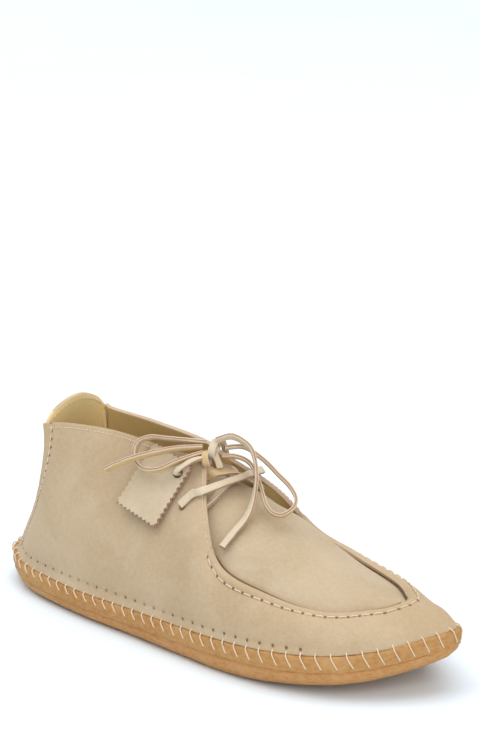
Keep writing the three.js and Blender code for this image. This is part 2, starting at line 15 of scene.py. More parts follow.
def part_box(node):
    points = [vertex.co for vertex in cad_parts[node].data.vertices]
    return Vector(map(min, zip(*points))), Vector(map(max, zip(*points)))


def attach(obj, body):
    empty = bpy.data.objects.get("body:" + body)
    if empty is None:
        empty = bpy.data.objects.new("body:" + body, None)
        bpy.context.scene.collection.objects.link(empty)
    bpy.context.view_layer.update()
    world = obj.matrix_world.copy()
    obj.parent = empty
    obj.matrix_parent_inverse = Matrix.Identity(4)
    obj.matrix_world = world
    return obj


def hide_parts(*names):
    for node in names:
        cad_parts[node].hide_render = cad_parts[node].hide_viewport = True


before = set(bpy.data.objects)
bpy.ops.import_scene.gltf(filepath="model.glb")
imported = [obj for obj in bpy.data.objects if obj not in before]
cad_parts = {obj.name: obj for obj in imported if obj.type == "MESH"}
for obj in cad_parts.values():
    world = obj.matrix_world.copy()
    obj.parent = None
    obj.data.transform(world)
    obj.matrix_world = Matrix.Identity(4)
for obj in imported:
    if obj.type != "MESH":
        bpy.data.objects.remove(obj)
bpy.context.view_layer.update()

bl_info = {
    "name": "Suede moccasin",
    "version": (1, 0, 0),
    "blender": (4, 5, 0),
    "location": "View3D > Sidebar > Moccasin",
    "description": "Builds the looks of a stitched suede moccasin around its CAD frame",
    "category": "Add Mesh",
}

MM = 0.001
ROOT = "shoe"
TAG_BODY = "tag"

# ---------------------------------------------------------------- shape of the shoe, millimetres
# Four rails of the upper, station by station from the heel seam to the toe.
# top: x, outer half width, inner half width, z.  upper: x, half width, z.
# lower: x, outer y, inner y, z.  feather: x, outer y, inner y.
STATIONS = [
    ((-107, 24.5, 24.5, 95.5), (-102.5, 25.5, 70), (-122, 19, 19, 42), (-137.5, 14.5, 14.5)),
    ((-95, 18, 18, 97), (-93, 27, 72), (-104, 34, 33, 38), (-116, 28, 27.5)),
    ((-63, 13.6, 13.6, 98), (-62, 24, 74), (-66, 42, 38, 40), (-72, 37, 33)),
    ((-27, 12.5, 12.5, 95.6), (-27, 24, 75), (-28, 46, 36, 40), (-30, 41, 31)),
    ((-8, 6.5, 6.5, 93.6), (-9, 22, 82), (-7, 48, 37, 42), (-5, 44, 33.5)),
    ((10, 26, 26, 74.5), (9, 38, 66), (12, 50, 42, 40), (14, 46, 38.3)),
    ((29, 37.7, 36.5, 53), (29, 43, 48), (32, 51, 48, 36), (34, 48, 45)),
    ((57, 36.9, 33, 44.8), (59, 41, 43), (63, 48.5, 50, 33), (66, 47.3, 49.2)),
    ((86, 29.8, 25.5, 39.4), (89, 34, 40), (95, 39.5, 42, 33), (97, 38.5, 42)),
    ((103, 14.3, 11, 39.8), (107.5, 19.5, 40.3), (117.5, 22.5, 30, 34), (119, 21.5, 29)),
    ((108, 7, 5.5, 41), (116, 10.5, 41), (131.5, 3.5, 20.5, 36), (133, 3, 20)),
    ((109.5, 0, 0, 41.6), (117.5, 0, 41.4), (136.5, -10, 10, 37), (138.5, -10, 10)),
]
CORNER = 4                      # station of the facing's top corner
SEAM_START = 6                  # station where the apron seam begins
TIP = len(STATIONS) - 1
LAST_S = 2 * TIP                # the same stations run back along the inner side
HEEL_MID = ((-106, 0, 106.8), (-110.5, 0, 76), (-129.5, 0, 42), (-145, 0))
HEEL_SIDE = ((-107.5, 14, 102.5), (-107.5, 16, 74), (-127.5, 11, 41), (-142.8, 8))
# heights along the shoe: top of the crepe, ground side, crown of the apron
FOOTBED = ((-150, 17.8), (-115, 16.4), (-70, 16), (0, 18), (60, 20.3), (97, 22.6), (119, 26), (142, 34))
GROUND = ((-150, 11), (-130, 3), (-110, 0), (30, 0), (60, 1.8), (90, 5), (110, 8), (126, 13), (142, 21))
CREST = ((-18, 88), (-9, 84), (2, 80), (14, 76), (29, 71.5), (40, 66.8), (57, 59.5), (75, 52.6),
         (90, 46.8), (102, 43.2), (110, 41.4))

LEATHER = 2.0
GAP = 0.3
MIDSOLE = 8.5
LIP = 2.4
OUTSOLE_STEP = 1.3
UNDERCUT = 5.5
SEAM_LAP = 8.0
SOLE_ROW = 5.0                  # rows of awl holes: distance from the lower edge at the heel,
APRON_ROW = 5.6                 # from the top edge along the apron seam,
HEEL_ROW = 4.4                  # and from the rear edge of the quarters
LACE_WIDTH = 4.2
LACE_THICK = 1.8
EYELET = 5.2
EYELETS = ((3.56, 11.8), (4.06, 26.6))      # station and distance below the edge: upper pair, lower pair

# ---------------------------------------------------------------- the lace, metres on the same last
KNOT = (-0.0050, -0.0040, 0.0983)
KNOT_RADIUS = 0.0042
KNOT_TURNED = (-0.0014, -0.0040, -0.0046)      # from the knot's middle to its turned-over wrap
LOOP_LEFT = [(-.0090, -.0054, .1014), (-.0170, -.0120, .1024), (-.0270, -.0148, .1018),
             (-.0365, -.0165, .1010),
             (-.0425, -.0195, .0980), (-.0423, -.0233, .0935), (-.0370, -.0268, .0893),
             (-.0295, -.0282, .0878),
             (-.0210, -.0268, .0898), (-.0145, -.0208, .0938), (-.0085, -.0090, .0966)]
LOOP_RIGHT = [(.0002, -.0020, .0996), (.0060, .0055, .0996), (.0125, .0078, .0968), (.0200, .0088, .0928),
              (.0276, .0085, .0884), (.0349, .0082, .0844), (.0404, .0067, .0802), (.0428, .0033, .0769),
              (.0428, -.0009, .0748), (.0410, -.0049, .0734), (.0372, -.0070, .0742), (.0324, -.0064, .0770),
              (.0271, -.0034, .0818), (.0206, .0004, .0874), (.0125, .0032, .0930), (.0060, .0005, .0956),
              (.0000, -.0032, .0954)]
END_LEFT = [(-.0094, -.0082, .0992), (-.0175, -.0183, .0992), (-.0265, -.0250, .0968),
            (-.0360, -.0304, .0932),
            (-.0440, -.0330, .0892), (-.0510, -.0350, .0850)]
END_RIGHT = [(-.0026, -.0046, .1036), (.0044, -.0004, .1060), (.0142, .0016, .1018), (.0205, -.0009, .0945),
             (.0241, -.0047, .0865), (.0260, -.0100, .0776), (.0274, -.0168, .0716), (.0262, -.0240, .0660),
             (.0246, -.0310, .0598)]
RISER_NEAR = [(-14.8, -22.4, 88.4), (-11.8, -21.4, 91.2), (-9, -17.6, 94), (-7.2, -12.8, 94.9),
              (-6, -8.8, 94.8)]
STANDING = (0, -0.8, 0.6)
LOOP_STANDING = (0.25, -0.78, 0.52)
FACING_UP = (0.55, -0.62, 0.56)

# ---------------------------------------------------------------- the hang tag
TAG_NORMAL = Vector((0.1, -0.84, 0.53)).normalized()
TAG_TILT = math.radians(-17)
TAG_OFF = 1.4
TAG_SIZE = (29.0, 37.0)
TAG_LEAF = 1.2
TAG_TOOTH = 3.0
TAG_HOLE = 5.6
TAG_HOLE_AT = (5.4, 7.0)        # from the front edge and from the top edge

low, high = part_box("lace_knot")
SHIFT = np.array((low + high) / 2) - np.array(KNOT)


# ---------------------------------------------------------------- small maths
def smooth(t):
    c = np.clip(t, 0, 1)
    return c * c * (3 - 2 * c)


def between(a, b, c, d, t):
    """Catmull-Rom from b to c as t runs 0 to 1, with a before them and d after."""
    return 0.5 * (2 * b + (c - a) * t + (2 * a - 5 * b + 4 * c - d) * t ** 2
                  + (3 * b - a - 3 * c + d) * t ** 3)


def spline(rows, u):
    """Catmull-Rom through rows of numbers, one row per whole u, with mirrored ends."""
    rows = np.asarray(rows, float)
    u = np.atleast_1d(np.asarray(u, float))
    n = len(rows) - 1
    ext = np.vstack([2 * rows[0] - rows[1], rows, 2 * rows[-1] - rows[-2]])
    i = np.clip(np.floor(u).astype(int), 0, n - 1)
    t = (u - i)[:, None]
    a, b, c, d = ext[i], ext[i + 1], ext[i + 2], ext[i + 3]
    return between(a, b, c, d, t)


def along(table, x):
    """Smooth height read from pairs of x and z."""
    xs, zs = np.array(table, float).T
    slopes = np.empty_like(zs)
    slopes[1:-1] = (zs[2:] - zs[:-2]) / (xs[2:] - xs[:-2])
    slopes[0] = (zs[1] - zs[0]) / (xs[1] - xs[0])
    slopes[-1] = (zs[-1] - zs[-2]) / (xs[-1] - xs[-2])
    i = np.clip(np.searchsorted(xs, x) - 1, 0, len(xs) - 2)
    span = xs[i + 1] - xs[i]
    t = (x - xs[i]) / span
    t2, t3 = t * t, t * t * t
    return ((2 * t3 - 3 * t2 + 1) * zs[i] + (t3 - 2 * t2 + t) * span * slopes[i]
            + (-2 * t3 + 3 * t2) * zs[i + 1] + (t3 - t2) * span * slopes[i + 1])


def unit(v):
    return v / np.maximum(np.linalg.norm(v, axis=-1, keepdims=True), 1e-9)


def lengths(points):
    return np.concatenate([[0], np.cumsum(np.linalg.norm(np.diff(points, axis=0), axis=1))])


def to_frame(points_mm):
    """Points of the last, in millimetres, to metres in the CAD frame."""
    return np.asarray(points_mm, float) * MM + SHIFT


# ---------------------------------------------------------------- surface of the upper
def middle(x):
    return 13 * (max(x - 10, 0) / 135) ** 1.6


def rails(station, side):
    top, upper, lower, feather = station
    foot_x = feather[0]
    row = [foot_x, side * feather[1 if side < 0 else 2], along(FOOTBED, foot_x) + GAP]
    row += [lower[0], side * lower[1 if side < 0 else 2], lower[3]]
    row += [upper[0], middle(upper[0]) + side * upper[1], upper[2]]
    row += [top[0], middle(top[0]) + side * top[1 if side < 0 else 2], top[3]]
    return row


CAGE = np.array([rails(STATIONS[i if i <= TIP else LAST_S - i], -1 if i <= TIP else 1)
                 for i in range(LAST_S + 1)])


def cage(s):
    s = np.atleast_1d(np.asarray(s, float))
    out = np.empty((len(s), CAGE.shape[1]))
    runs = [(s < CORNER, 0, CORNER), (s > LAST_S - CORNER, LAST_S - CORNER, LAST_S),
            ((s >= CORNER) & (s <= LAST_S - CORNER), CORNER, LAST_S - CORNER)]
    for mask, first, last in runs:
        if mask.any():
            out[mask] = spline(CAGE[first:last + 1], s[mask] - first)
    return out


def bezier(c, t):
    t = np.asarray(t, float)[..., None]
    return ((1 - t) ** 3 * c[..., 0:3] + 3 * t * (1 - t) ** 2 * c[..., 3:6]
            + 3 * t * t * (1 - t) * c[..., 6:9] + t ** 3 * c[..., 9:12])


def skin(s, t):
    s, t = np.broadcast_arrays(np.atleast_1d(np.asarray(s, float)), np.asarray(t, float))
    return bezier(cage(s.ravel()), t.ravel()).reshape(s.shape + (3,))


def outward(s, t):
    s, t = np.broadcast_arrays(np.atleast_1d(np.asarray(s, float)), np.asarray(t, float))
    d = 0.02
    lo, hi = np.maximum(0, s - d), np.minimum(LAST_S, s + d)
    for c in (CORNER, LAST_S - CORNER):
        lo = np.where((lo < c) & (s >= c), c, lo)
        hi = np.where((hi > c) & (s < c), c - 1e-6, hi)
    hi = np.where(hi - lo < d / 2, lo + d, hi)
    ds = skin(hi, t) - skin(lo, t)
    dt = skin(s, np.minimum(1, t + d)) - skin(s, np.maximum(0, t - d))
    return unit(np.cross(ds, dt))


def under(s, t, depth):
    return skin(s, t) - outward(s, t) * np.asarray(depth, float)[..., None]


T_FINE = np.linspace(0, 1, 201)


def t_below_top(s, distance):
    """t of the points that lie a distance down the wall from its top edge."""
    s, distance = np.broadcast_arrays(np.atleast_1d(np.asarray(s, float)), np.asarray(distance, float))
    out = np.empty(len(s))
    for k, (one, down) in enumerate(zip(s, distance)):
        wall = skin(np.full(len(T_FINE), one), T_FINE)[::-1]
        out[k] = 1 - np.interp(down, lengths(wall), T_FINE)
    return out


def t_above_feather(s, distance):
    """t of the points that lie a distance up the wall from its lower edge."""
    s, distance = np.broadcast_arrays(np.atleast_1d(np.asarray(s, float)), np.asarray(distance, float))
    out = np.empty(len(s))
    for k, (one, up) in enumerate(zip(s, distance)):
        out[k] = np.interp(up, lengths(skin(np.full(len(T_FINE), one), T_FINE)), T_FINE)
    return out


def lift(s, down, out):
    """A point a distance below the top edge and a distance out from the suede, millimetres."""
    return under(s, t_below_top(s, down), -out)[0]


def evenly(curve, first, last, pitch, samples=1500):
    """Parameters that divide a curve into equal stitches, and the function from parameter to stitch count."""
    u = np.linspace(first, last, samples)
    run = lengths(curve(u))
    count = max(1, round(run[-1] / pitch))
    centres = np.interp((np.arange(count) + 0.5) * run[-1] / count, run, u)
    return centres, lambda v: np.interp(v, u, run / run[-1] * count)


# ---------------------------------------------------------------- outline of the sole
def sole_ring():
    outer = [HEEL_MID[3], (HEEL_SIDE[3][0], -HEEL_SIDE[3][1])] + [tuple(CAGE[i][:2]) for i in range(TIP + 1)]
    inner = [HEEL_MID[3], HEEL_SIDE[3]] + [tuple(CAGE[LAST_S - i][:2]) for i in range(TIP + 1)]
    return np.array(outer + inner[1:-1][::-1], float)


RING = sole_ring()
RING_HALF = TIP + 2             # ring parameter of the toe tip; station s lies at s + 2


def outline(w):
    """Point of the feather line and its outward direction, for ring parameters."""
    count = len(RING)
    wrapped = np.vstack([RING[-2:], RING, RING[:3]])
    place = lambda v: spline(wrapped, (np.asarray(v) % count) + 2)
    tangent = unit(place(w + 0.01) - place(w - 0.01))
    return place(w), np.stack([tangent[:, 1], -tangent[:, 0]], axis=1)


def footbed(x):
    return along(FOOTBED, x)


# ---------------------------------------------------------------- objects
def activate(obj):
    bpy.ops.object.select_all(action="DESELECT")
    obj.select_set(True)
    bpy.context.view_layer.objects.active = obj
    return obj


def apply_modifier(obj, kind, **settings):
    activate(obj)
    modifier = obj.modifiers.new(kind.lower(), kind)
    for name, value in settings.items():
        setattr(modifier, name, value)
    bpy.ops.object.modifier_apply(modifier=modifier.name)


def mesh_piece(name, points, faces, finishes, uvs=None, slots=None):
    """A mesh object of points in metres; uvs maps a layer's name to one pair for each point."""
    mesh = bpy.data.meshes.new(name)
    mesh.from_pydata([tuple(p) for p in points], [], [tuple(f) for f in faces])
    for finish in finishes:
        mesh.materials.append(material(finish))
    loops = np.empty(len(mesh.loops), int)
    mesh.loops.foreach_get("vertex_index", loops)
    for layer, values in (uvs or {}).items():
        made = mesh.uv_layers.new(name=layer)
        made.data.foreach_set("uv", np.asarray(values, np.float32)[loops].ravel())
    if slots is not None:
        mesh.polygons.foreach_set("material_index", np.asarray(slots, np.int32))
    mesh.polygons.foreach_set("use_smooth", [True] * len(mesh.polygons))
    mesh.update()
    obj = bpy.data.objects.new(name, mesh)
    bpy.context.scene.collection.objects.link(obj)
    return obj


def grid_faces(rows, columns, closed=False):
    """Quads over a grid whose points run column by column inside each row."""
    faces = []
    span = columns if closed else columns - 1
    for i in range(rows - 1):
        for j in range(span):
            k = (j + 1) % columns
            faces.append((i * columns + j, (i + 1) * columns + j, (i + 1) * columns + k, i * columns + k))
    return faces


def merge(obj, distance):
    activate(obj)
    bpy.ops.object.mode_set(mode="EDIT")
    bpy.ops.mesh.select_all(action="SELECT")
    bpy.ops.mesh.remove_doubles(threshold=distance)
    bpy.ops.mesh.normals_make_consistent(inside=False)
    bpy.ops.object.mode_set(mode="OBJECT")


def finish_piece(obj, replaced=(), body=ROOT, angle=40):
    activate(obj)
    bpy.ops.object.shade_smooth_by_angle(angle=math.radians(angle))
    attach(obj, body)
    if replaced:
        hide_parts(*replaced)
    return obj


def join(name, pieces):
    bpy.ops.object.select_all(action="DESELECT")
    for piece in pieces:
        piece.select_set(True)
    bpy.context.view_layer.objects.active = pieces[0]
    if len(pieces) > 1:
        bpy.ops.object.join()
    pieces[0].name = name
    pieces[0].data.name = name
    return pieces[0]


def tube(points, radius, sides=8, taper=None):
    """Points, quads and UVs of a closed round tube; u runs in metres along it, v round it."""
    points = np.asarray(points, float)
    tangents = unit(np.gradient(points, axis=0))
    ring = []
    side = unit(np.cross(tangents[0], (0.21, 0.13, 0.97)))
    for k, tangent in enumerate(tangents):
        side = unit(side - np.dot(side, tangent) * tangent)
        other = np.cross(tangent, side)
        r = radius * (taper[k] if taper is not None else 1)
        turns = np.arange(sides) * 2 * math.pi / sides
        ring.append(points[k] + r * (np.cos(turns)[:, None] * side + np.sin(turns)[:, None] * other))
    made = np.concatenate(ring + [points[:1], points[-1:]])
    faces = [(a, d, c, b) for a, b, c, d in grid_faces(len(points), sides, closed=True)]
    last = (len(points) - 1) * sides
    start, end = len(points) * sides, len(points) * sides + 1
    for j in range(sides):
        k = (j + 1) % sides
        faces.append((start, k, j))
        faces.append((end, last + j, last + k))
    run = lengths(points)
    u = np.concatenate([np.repeat(run, sides), [run[0], run[-1]]])
    v = np.concatenate([np.tile(np.arange(sides) / sides, len(points)), [0.5, 0.5]])
    return made, faces, np.stack([u, v], axis=1)


def thread_piece(name, paths, radius, sides=8):
    """One piece of many short threads that follow paths in metres."""
    points, faces, uvs = [], [], []
    start = 0
    for path in paths:
        p, f, uv = tube(path, radius, sides)
        points.append(p)
        uvs.append(uv)
        faces += [tuple(i + start for i in face) for face in f]
        start += len(p)
    obj = mesh_piece(name, np.concatenate(points), faces, ["waxed_thread"], {"thread": np.concatenate(uvs)})
    return finish_piece(obj, angle=80)


# ---------------------------------------------------------------- shader groups
def group(name, inputs, outputs):
    tree = bpy.data.node_groups.new(name, "ShaderNodeTree")
    for label, kind, value in inputs:
        socket = tree.interface.new_socket(label, in_out="INPUT", socket_type=kind)
        if value is not None:
            socket.default_value = value
    for label, kind in outputs:
        tree.interface.new_socket(label, in_out="OUTPUT", socket_type=kind)
    return tree, tree.nodes.new("NodeGroupInput"), tree.nodes.new("NodeGroupOutput")


COLOR, FLOAT, VECTOR = "NodeSocketColor", "NodeSocketFloat", "NodeSocketVector"


def add_node(tree, kind, links=None, **settings):
    """A node with its settings; links maps an input's name or number to a socket or a value."""
    node = tree.nodes.new(kind)
    for name, value in settings.items():
        setattr(node, name, value)
    for key, value in (links or {}).items():
        if isinstance(value, bpy.types.NodeSocket):
            tree.links.new(value, node.inputs[key])
        else:
            node.inputs[key].default_value = value
    return node


def maths(tree, operation, *values, clamp=False):
    return add_node(tree, "ShaderNodeMath", dict(enumerate(values)), operation=operation,
                    use_clamp=clamp).outputs[0]


def noise(tree, vector, scale, detail=3.0, roughness=0.55, distortion=0.0):
    return add_node(tree, "ShaderNodeTexNoise", {"Vector": vector, "Scale": scale, "Detail": detail,
                    "Roughness": roughness, "Distortion": distortion}).outputs[0]


def mix_color(tree, factor, a, b, blend="MIX"):
    node = tree.nodes.new("ShaderNodeMix")
    node.data_type = "RGBA"
    node.blend_type = blend
    for index, value in ((0, factor), (6, a), (7, b)):
        if isinstance(value, bpy.types.NodeSocket):
            tree.links.new(value, node.inputs[index])
        else:
            node.inputs[index].default_value = value
    return node.outputs[2]


def ramp_range(tree, value, low_in, high_in, low_out=0.0, high_out=1.0):
    return add_node(tree, "ShaderNodeMapRange", {0: value, 1: low_in, 2: high_in, 3: low_out, 4: high_out},
                    interpolation_type="SMOOTHSTEP").outputs[0]


def suede_group():
    """Brushed nap: short fibres, larger clouds where the nap lies another way, and flecks."""
    tree, start, end = group("suede nap",
        [("Vector", VECTOR, None), ("Colour", COLOR, (.6, .5, .35, 1)), ("Shade", COLOR, (.5, .4, .27, 1)),
         ("Fibre", FLOAT, 1500.0), ("Cloud", FLOAT, 34.0)],
        [("Colour", COLOR), ("Height", FLOAT), ("Roughness", FLOAT)])
    vector = start.outputs["Vector"]
    stretched = add_node(tree, "ShaderNodeMapping", {"Vector": vector, "Scale": (0.55, 0.8, 1.25)}).outputs[0]
    fibre = noise(tree, stretched, start.outputs["Fibre"], 4.0, 0.7)
    cloud = noise(tree, vector, start.outputs["Cloud"], 3.0, 0.5, 0.6)
    patch = noise(tree, vector, 9.0, 2.0, 0.5)
    fleck = noise(tree, vector, 420.0, 2.0, 0.6)
    shade = maths(tree, "ADD", maths(tree, "MULTIPLY", ramp_range(tree, cloud, 0.35, 0.65), 0.34),
                  maths(tree, "MULTIPLY", ramp_range(tree, fibre, 0.25, 0.75), 0.38))
    shade = maths(tree, "ADD", shade, maths(tree, "MULTIPLY", ramp_range(tree, fleck, 0.3, 0.7), 0.20))
    shade = maths(tree, "ADD", shade, maths(tree, "MULTIPLY", ramp_range(tree, patch, 0.3, 0.7), 0.16))
    colour = mix_color(tree, shade, start.outputs["Colour"], start.outputs["Shade"])
    tree.links.new(colour, end.inputs["Colour"])
    height = maths(tree, "ADD", maths(tree, "MULTIPLY", fibre, 0.6), maths(tree, "MULTIPLY", fleck, 0.4))
    tree.links.new(height, end.inputs["Height"])
    tree.links.new(ramp_range(tree, fibre, 0.3, 0.7, 0.86, 0.98), end.inputs["Roughness"])
    return tree


def holes_group():
    """Awl holes in a row: U counts stitches along the row, V is millimetres from the edge."""
    tree, start, end = group("awl holes",
        [("UV", VECTOR, None), ("Pitch", FLOAT, 5.2), ("Row", FLOAT, 5.0), ("Radius", FLOAT, 0.8),
         ("Offset", FLOAT, 0.0)], [("Mask", FLOAT), ("Channel", FLOAT)])
    split = add_node(tree, "ShaderNodeSeparateXYZ", {0: start.outputs["UV"]})
    shifted = maths(tree, "ADD", split.outputs[0], start.outputs["Offset"])
    across = maths(tree, "SUBTRACT", maths(tree, "FRACT", shifted), 0.5)
    across = maths(tree, "MULTIPLY", across, start.outputs["Pitch"])
    down = maths(tree, "SUBTRACT", split.outputs[1], start.outputs["Row"])
    square = maths(tree, "ADD", maths(tree, "MULTIPLY", across, across), maths(tree, "MULTIPLY", down, down))
    away = maths(tree, "SQRT", square)
    ratio = maths(tree, "DIVIDE", away, start.outputs["Radius"])
    tree.links.new(ramp_range(tree, ratio, 0.55, 1.25, 1.0, 0.0), end.inputs["Mask"])
    channel = maths(tree, "DIVIDE", maths(tree, "ABSOLUTE", down), start.outputs["Radius"])
    tree.links.new(ramp_range(tree, channel, 0.2, 1.7, 1.0, 0.0), end.inputs["Channel"])
    return tree


def grain_group():
    """Smooth grain side of the hide: fine pores, soft creases and a waxy variation of colour."""
    tree, start, end = group("hide grain",
        [("Vector", VECTOR, None), ("Colour", COLOR, (.55, .37, .16, 1)), ("Shade", COLOR, (.4, .25, .1, 1)),
         ("Pores", FLOAT, 900.0)],
        [("Colour", COLOR), ("Height", FLOAT), ("Roughness", FLOAT)])
    vector = start.outputs["Vector"]
    pores = add_node(tree, "ShaderNodeTexVoronoi", {"Vector": vector, "Scale": start.outputs["Pores"]},
                     feature="SMOOTH_F1").outputs[0]
    cloud = noise(tree, vector, 28.0, 4.0, 0.6, 0.8)
    streak = add_node(tree, "ShaderNodeMapping", {"Vector": vector, "Scale": (0.25, 1, 1.6)}).outputs[0]
    crease = noise(tree, streak, 160.0, 4.0, 0.6)
    shade = maths(tree, "ADD", maths(tree, "MULTIPLY", ramp_range(tree, cloud, 0.35, 0.7), 0.5),
                  maths(tree, "MULTIPLY", ramp_range(tree, crease, 0.4, 0.75), 0.35))
    shaded = mix_color(tree, shade, start.outputs["Colour"], start.outputs["Shade"])
    tree.links.new(shaded, end.inputs["Colour"])
    height = maths(tree, "ADD", maths(tree, "MULTIPLY", pores, 0.5), maths(tree, "MULTIPLY", crease, 0.5))
    tree.links.new(height, end.inputs["Height"])
    tree.links.new(ramp_range(tree, cloud, 0.3, 0.7, 0.42, 0.6), end.inputs["Roughness"])
    return tree


def crepe_group():
    """Natural crepe: crinkled, slightly translucent looking, with wandering streaks and small pits."""
    tree, start, end = group("crepe crinkle",
        [("Vector", VECTOR, None), ("Colour", COLOR, (.5, .3, .13, 1)), ("Shade", COLOR, (.35, .19, .07, 1)),
         ("Light", COLOR, (.6, .38, .18, 1)), ("Crinkle", FLOAT, 420.0)],
        [("Colour", COLOR), ("Height", FLOAT), ("Roughness", FLOAT)])
    vector = start.outputs["Vector"]
    flat = add_node(tree, "ShaderNodeMapping", {"Vector": vector, "Scale": (0.75, 0.75, 1.5)}).outputs[0]
    crinkle = noise(tree, flat, start.outputs["Crinkle"], 5.0, 0.7, 0.5)
    cells = add_node(tree, "ShaderNodeTexVoronoi", {"Vector": flat, "Scale": start.outputs["Crinkle"]},
                     feature="SMOOTH_F1").outputs[0]
    cloud = noise(tree, vector, 45.0, 3.0, 0.55, 0.4)
    pits = noise(tree, vector, 600.0, 2.0, 0.5)
    colour = mix_color(tree, ramp_range(tree, crinkle, 0.38, 0.68), start.outputs["Colour"],
                       start.outputs["Shade"])
    colour = mix_color(tree, maths(tree, "MULTIPLY", ramp_range(tree, cloud, 0.45, 0.75), 0.6),
                       colour, start.outputs["Light"])
    tree.links.new(colour, end.inputs["Colour"])
    height = maths(tree, "ADD", maths(tree, "MULTIPLY", crinkle, 0.6), maths(tree, "MULTIPLY", cells, 0.3))
    height = maths(tree, "ADD", height, maths(tree, "MULTIPLY", pits, 0.15))
    tree.links.new(height, end.inputs["Height"])
    tree.links.new(ramp_range(tree, crinkle, 0.3, 0.7, 0.62, 0.85), end.inputs["Roughness"])
    return tree


def twist_group():
    """Two plies laid round each other, with painted shade in the groove between them: U is metres along the
    thread, V goes once round it.
    """
    tree, start, end = group("thread twist",
        [("UV", VECTOR, None), ("Turns", FLOAT, 900.0), ("Colour", COLOR, (.76, .61, .4, 1)),
         ("Shade", COLOR, (.5, .36, .2, 1))], [("Colour", COLOR), ("Height", FLOAT)])
    split = add_node(tree, "ShaderNodeSeparateXYZ", {0: start.outputs["UV"]})
    phase = maths(tree, "ADD", maths(tree, "MULTIPLY", split.outputs[0], start.outputs["Turns"]),
                  maths(tree, "MULTIPLY", split.outputs[1], 2.0))
    wave = maths(tree, "ABSOLUTE", maths(tree, "SINE", maths(tree, "MULTIPLY", phase, math.pi)))
    # painted shade: the colour turns to the Shade input in the groove between the plies, where the height is
    # low
    tree.links.new(mix_color(tree, ramp_range(tree, wave, 0.0, 0.7, 1.0, 0.0), start.outputs["Colour"],
                             start.outputs["Shade"]), end.inputs["Colour"])
    tree.links.new(wave, end.inputs["Height"])
    return tree


# ---------------------------------------------------------------- materials
STUDIO = 0.8                    # the studio lights are brighter than daylight on the hide by one over this


def srgb(r, g, b):
    """A colour seen in the studio, 0 to 255, as the linear colour of the surface with full alpha."""
    linear = [((c / 255 + 0.055) / 1.055) ** 2.4 * STUDIO for c in (r, g, b)]
    return (*linear, 1.0)


def swatch(name, colour, description):
    return FloatVectorProperty(name=name, description=description, subtype="COLOR", size=3, min=0, max=1,
                               default=srgb(*colour)[:3])


def base_material(name):
    made = bpy.data.materials.new(name)
    made.use_nodes = True
    tree = made.node_tree
    return made, tree, tree.nodes["Principled BSDF"]


def place_group(tree, name, links):
    node = tree.nodes.new("ShaderNodeGroup")
    node.node_tree = bpy.data.node_groups[name]
    for key, value in links.items():
        if isinstance(value, bpy.types.NodeSocket):
            tree.links.new(value, node.inputs[key])
        else:
            node.inputs[key].default_value = value
    return node


def bump(tree, height, distance, strength=1.0, normal=None):
    links = {"Height": height, "Distance": distance, "Strength": strength}
    if normal is not None:
        links["Normal"] = normal
    return add_node(tree, "ShaderNodeBump", links).outputs[0]


def object_coords(tree):
    return tree.nodes.new("ShaderNodeTexCoord").outputs["Object"]


def uv_coords(tree, layer):
    return add_node(tree, "ShaderNodeUVMap", uv_map=layer).outputs[0]


def suede_material(name, colour, shade, rows=(), crease=None):
    """Suede with rows of awl holes, each hole painted dark as the shade inside it, and painted shade along
    the crease line when a crease UV layer is given. Each row: UV layer, pitch, distance from the edge,
    radius, offset.
    """
    made, tree, shader = base_material(name)
    nap = place_group(tree, "suede nap", {"Vector": object_coords(tree), "Colour": colour, "Shade": shade})
    tint, height = nap.outputs["Colour"], maths(tree, "MULTIPLY", nap.outputs["Height"], 1.0)
    for layer, pitch, row, radius, offset in rows:
        holes = place_group(tree, "awl holes", {"UV": uv_coords(tree, layer), "Pitch": pitch, "Row": row,
                                                "Radius": radius, "Offset": offset})
        # painted shade: each awl hole is mixed towards dark brown for the shade inside the hole
        tint = mix_color(tree, maths(tree, "MULTIPLY", holes.outputs["Mask"], 0.82), tint, srgb(112, 80, 46))
        height = maths(tree, "SUBTRACT", height, maths(tree, "MULTIPLY", holes.outputs["Mask"], 2.5))
        height = maths(tree, "SUBTRACT", height, maths(tree, "MULTIPLY", holes.outputs["Channel"], 0.35))
    # painted shade along the crease where the vamp's edge lies on the apron: a soft darker band and a thin
    # dark line
    if crease:
        away = add_node(tree, "ShaderNodeSeparateXYZ", {0: uv_coords(tree, crease)}).outputs[0]
        tint = mix_color(tree, ramp_range(tree, away, 0.3, 3.0, 0.3, 0.0), tint, srgb(150, 118, 82))
        tint = mix_color(tree, ramp_range(tree, away, 0.35, 0.9, 0.75, 0.0), tint, srgb(96, 68, 42))
    tree.links.new(tint, shader.inputs["Base Color"])
    tree.links.new(nap.outputs["Roughness"], shader.inputs["Roughness"])
    tree.links.new(bump(tree, height, 0.00025, 0.8), shader.inputs["Normal"])
    shader.inputs["Sheen Weight"].default_value = 0.22
    shader.inputs["Sheen Roughness"].default_value = 0.55
    shader.inputs["Sheen Tint"].default_value = srgb(255, 240, 215)
    shader.inputs["Specular IOR Level"].default_value = 0.18
    return made


def grain_material(name, colour, shade):
    made, tree, shader = base_material(name)
    grain = place_group(tree, "hide grain", {"Vector": object_coords(tree), "Colour": colour, "Shade": shade})
    tree.links.new(grain.outputs["Colour"], shader.inputs["Base Color"])
    tree.links.new(grain.outputs["Roughness"], shader.inputs["Roughness"])
    tree.links.new(bump(tree, grain.outputs["Height"], 0.00012, 0.5), shader.inputs["Normal"])
    shader.inputs["Specular IOR Level"].default_value = 0.4
    return made


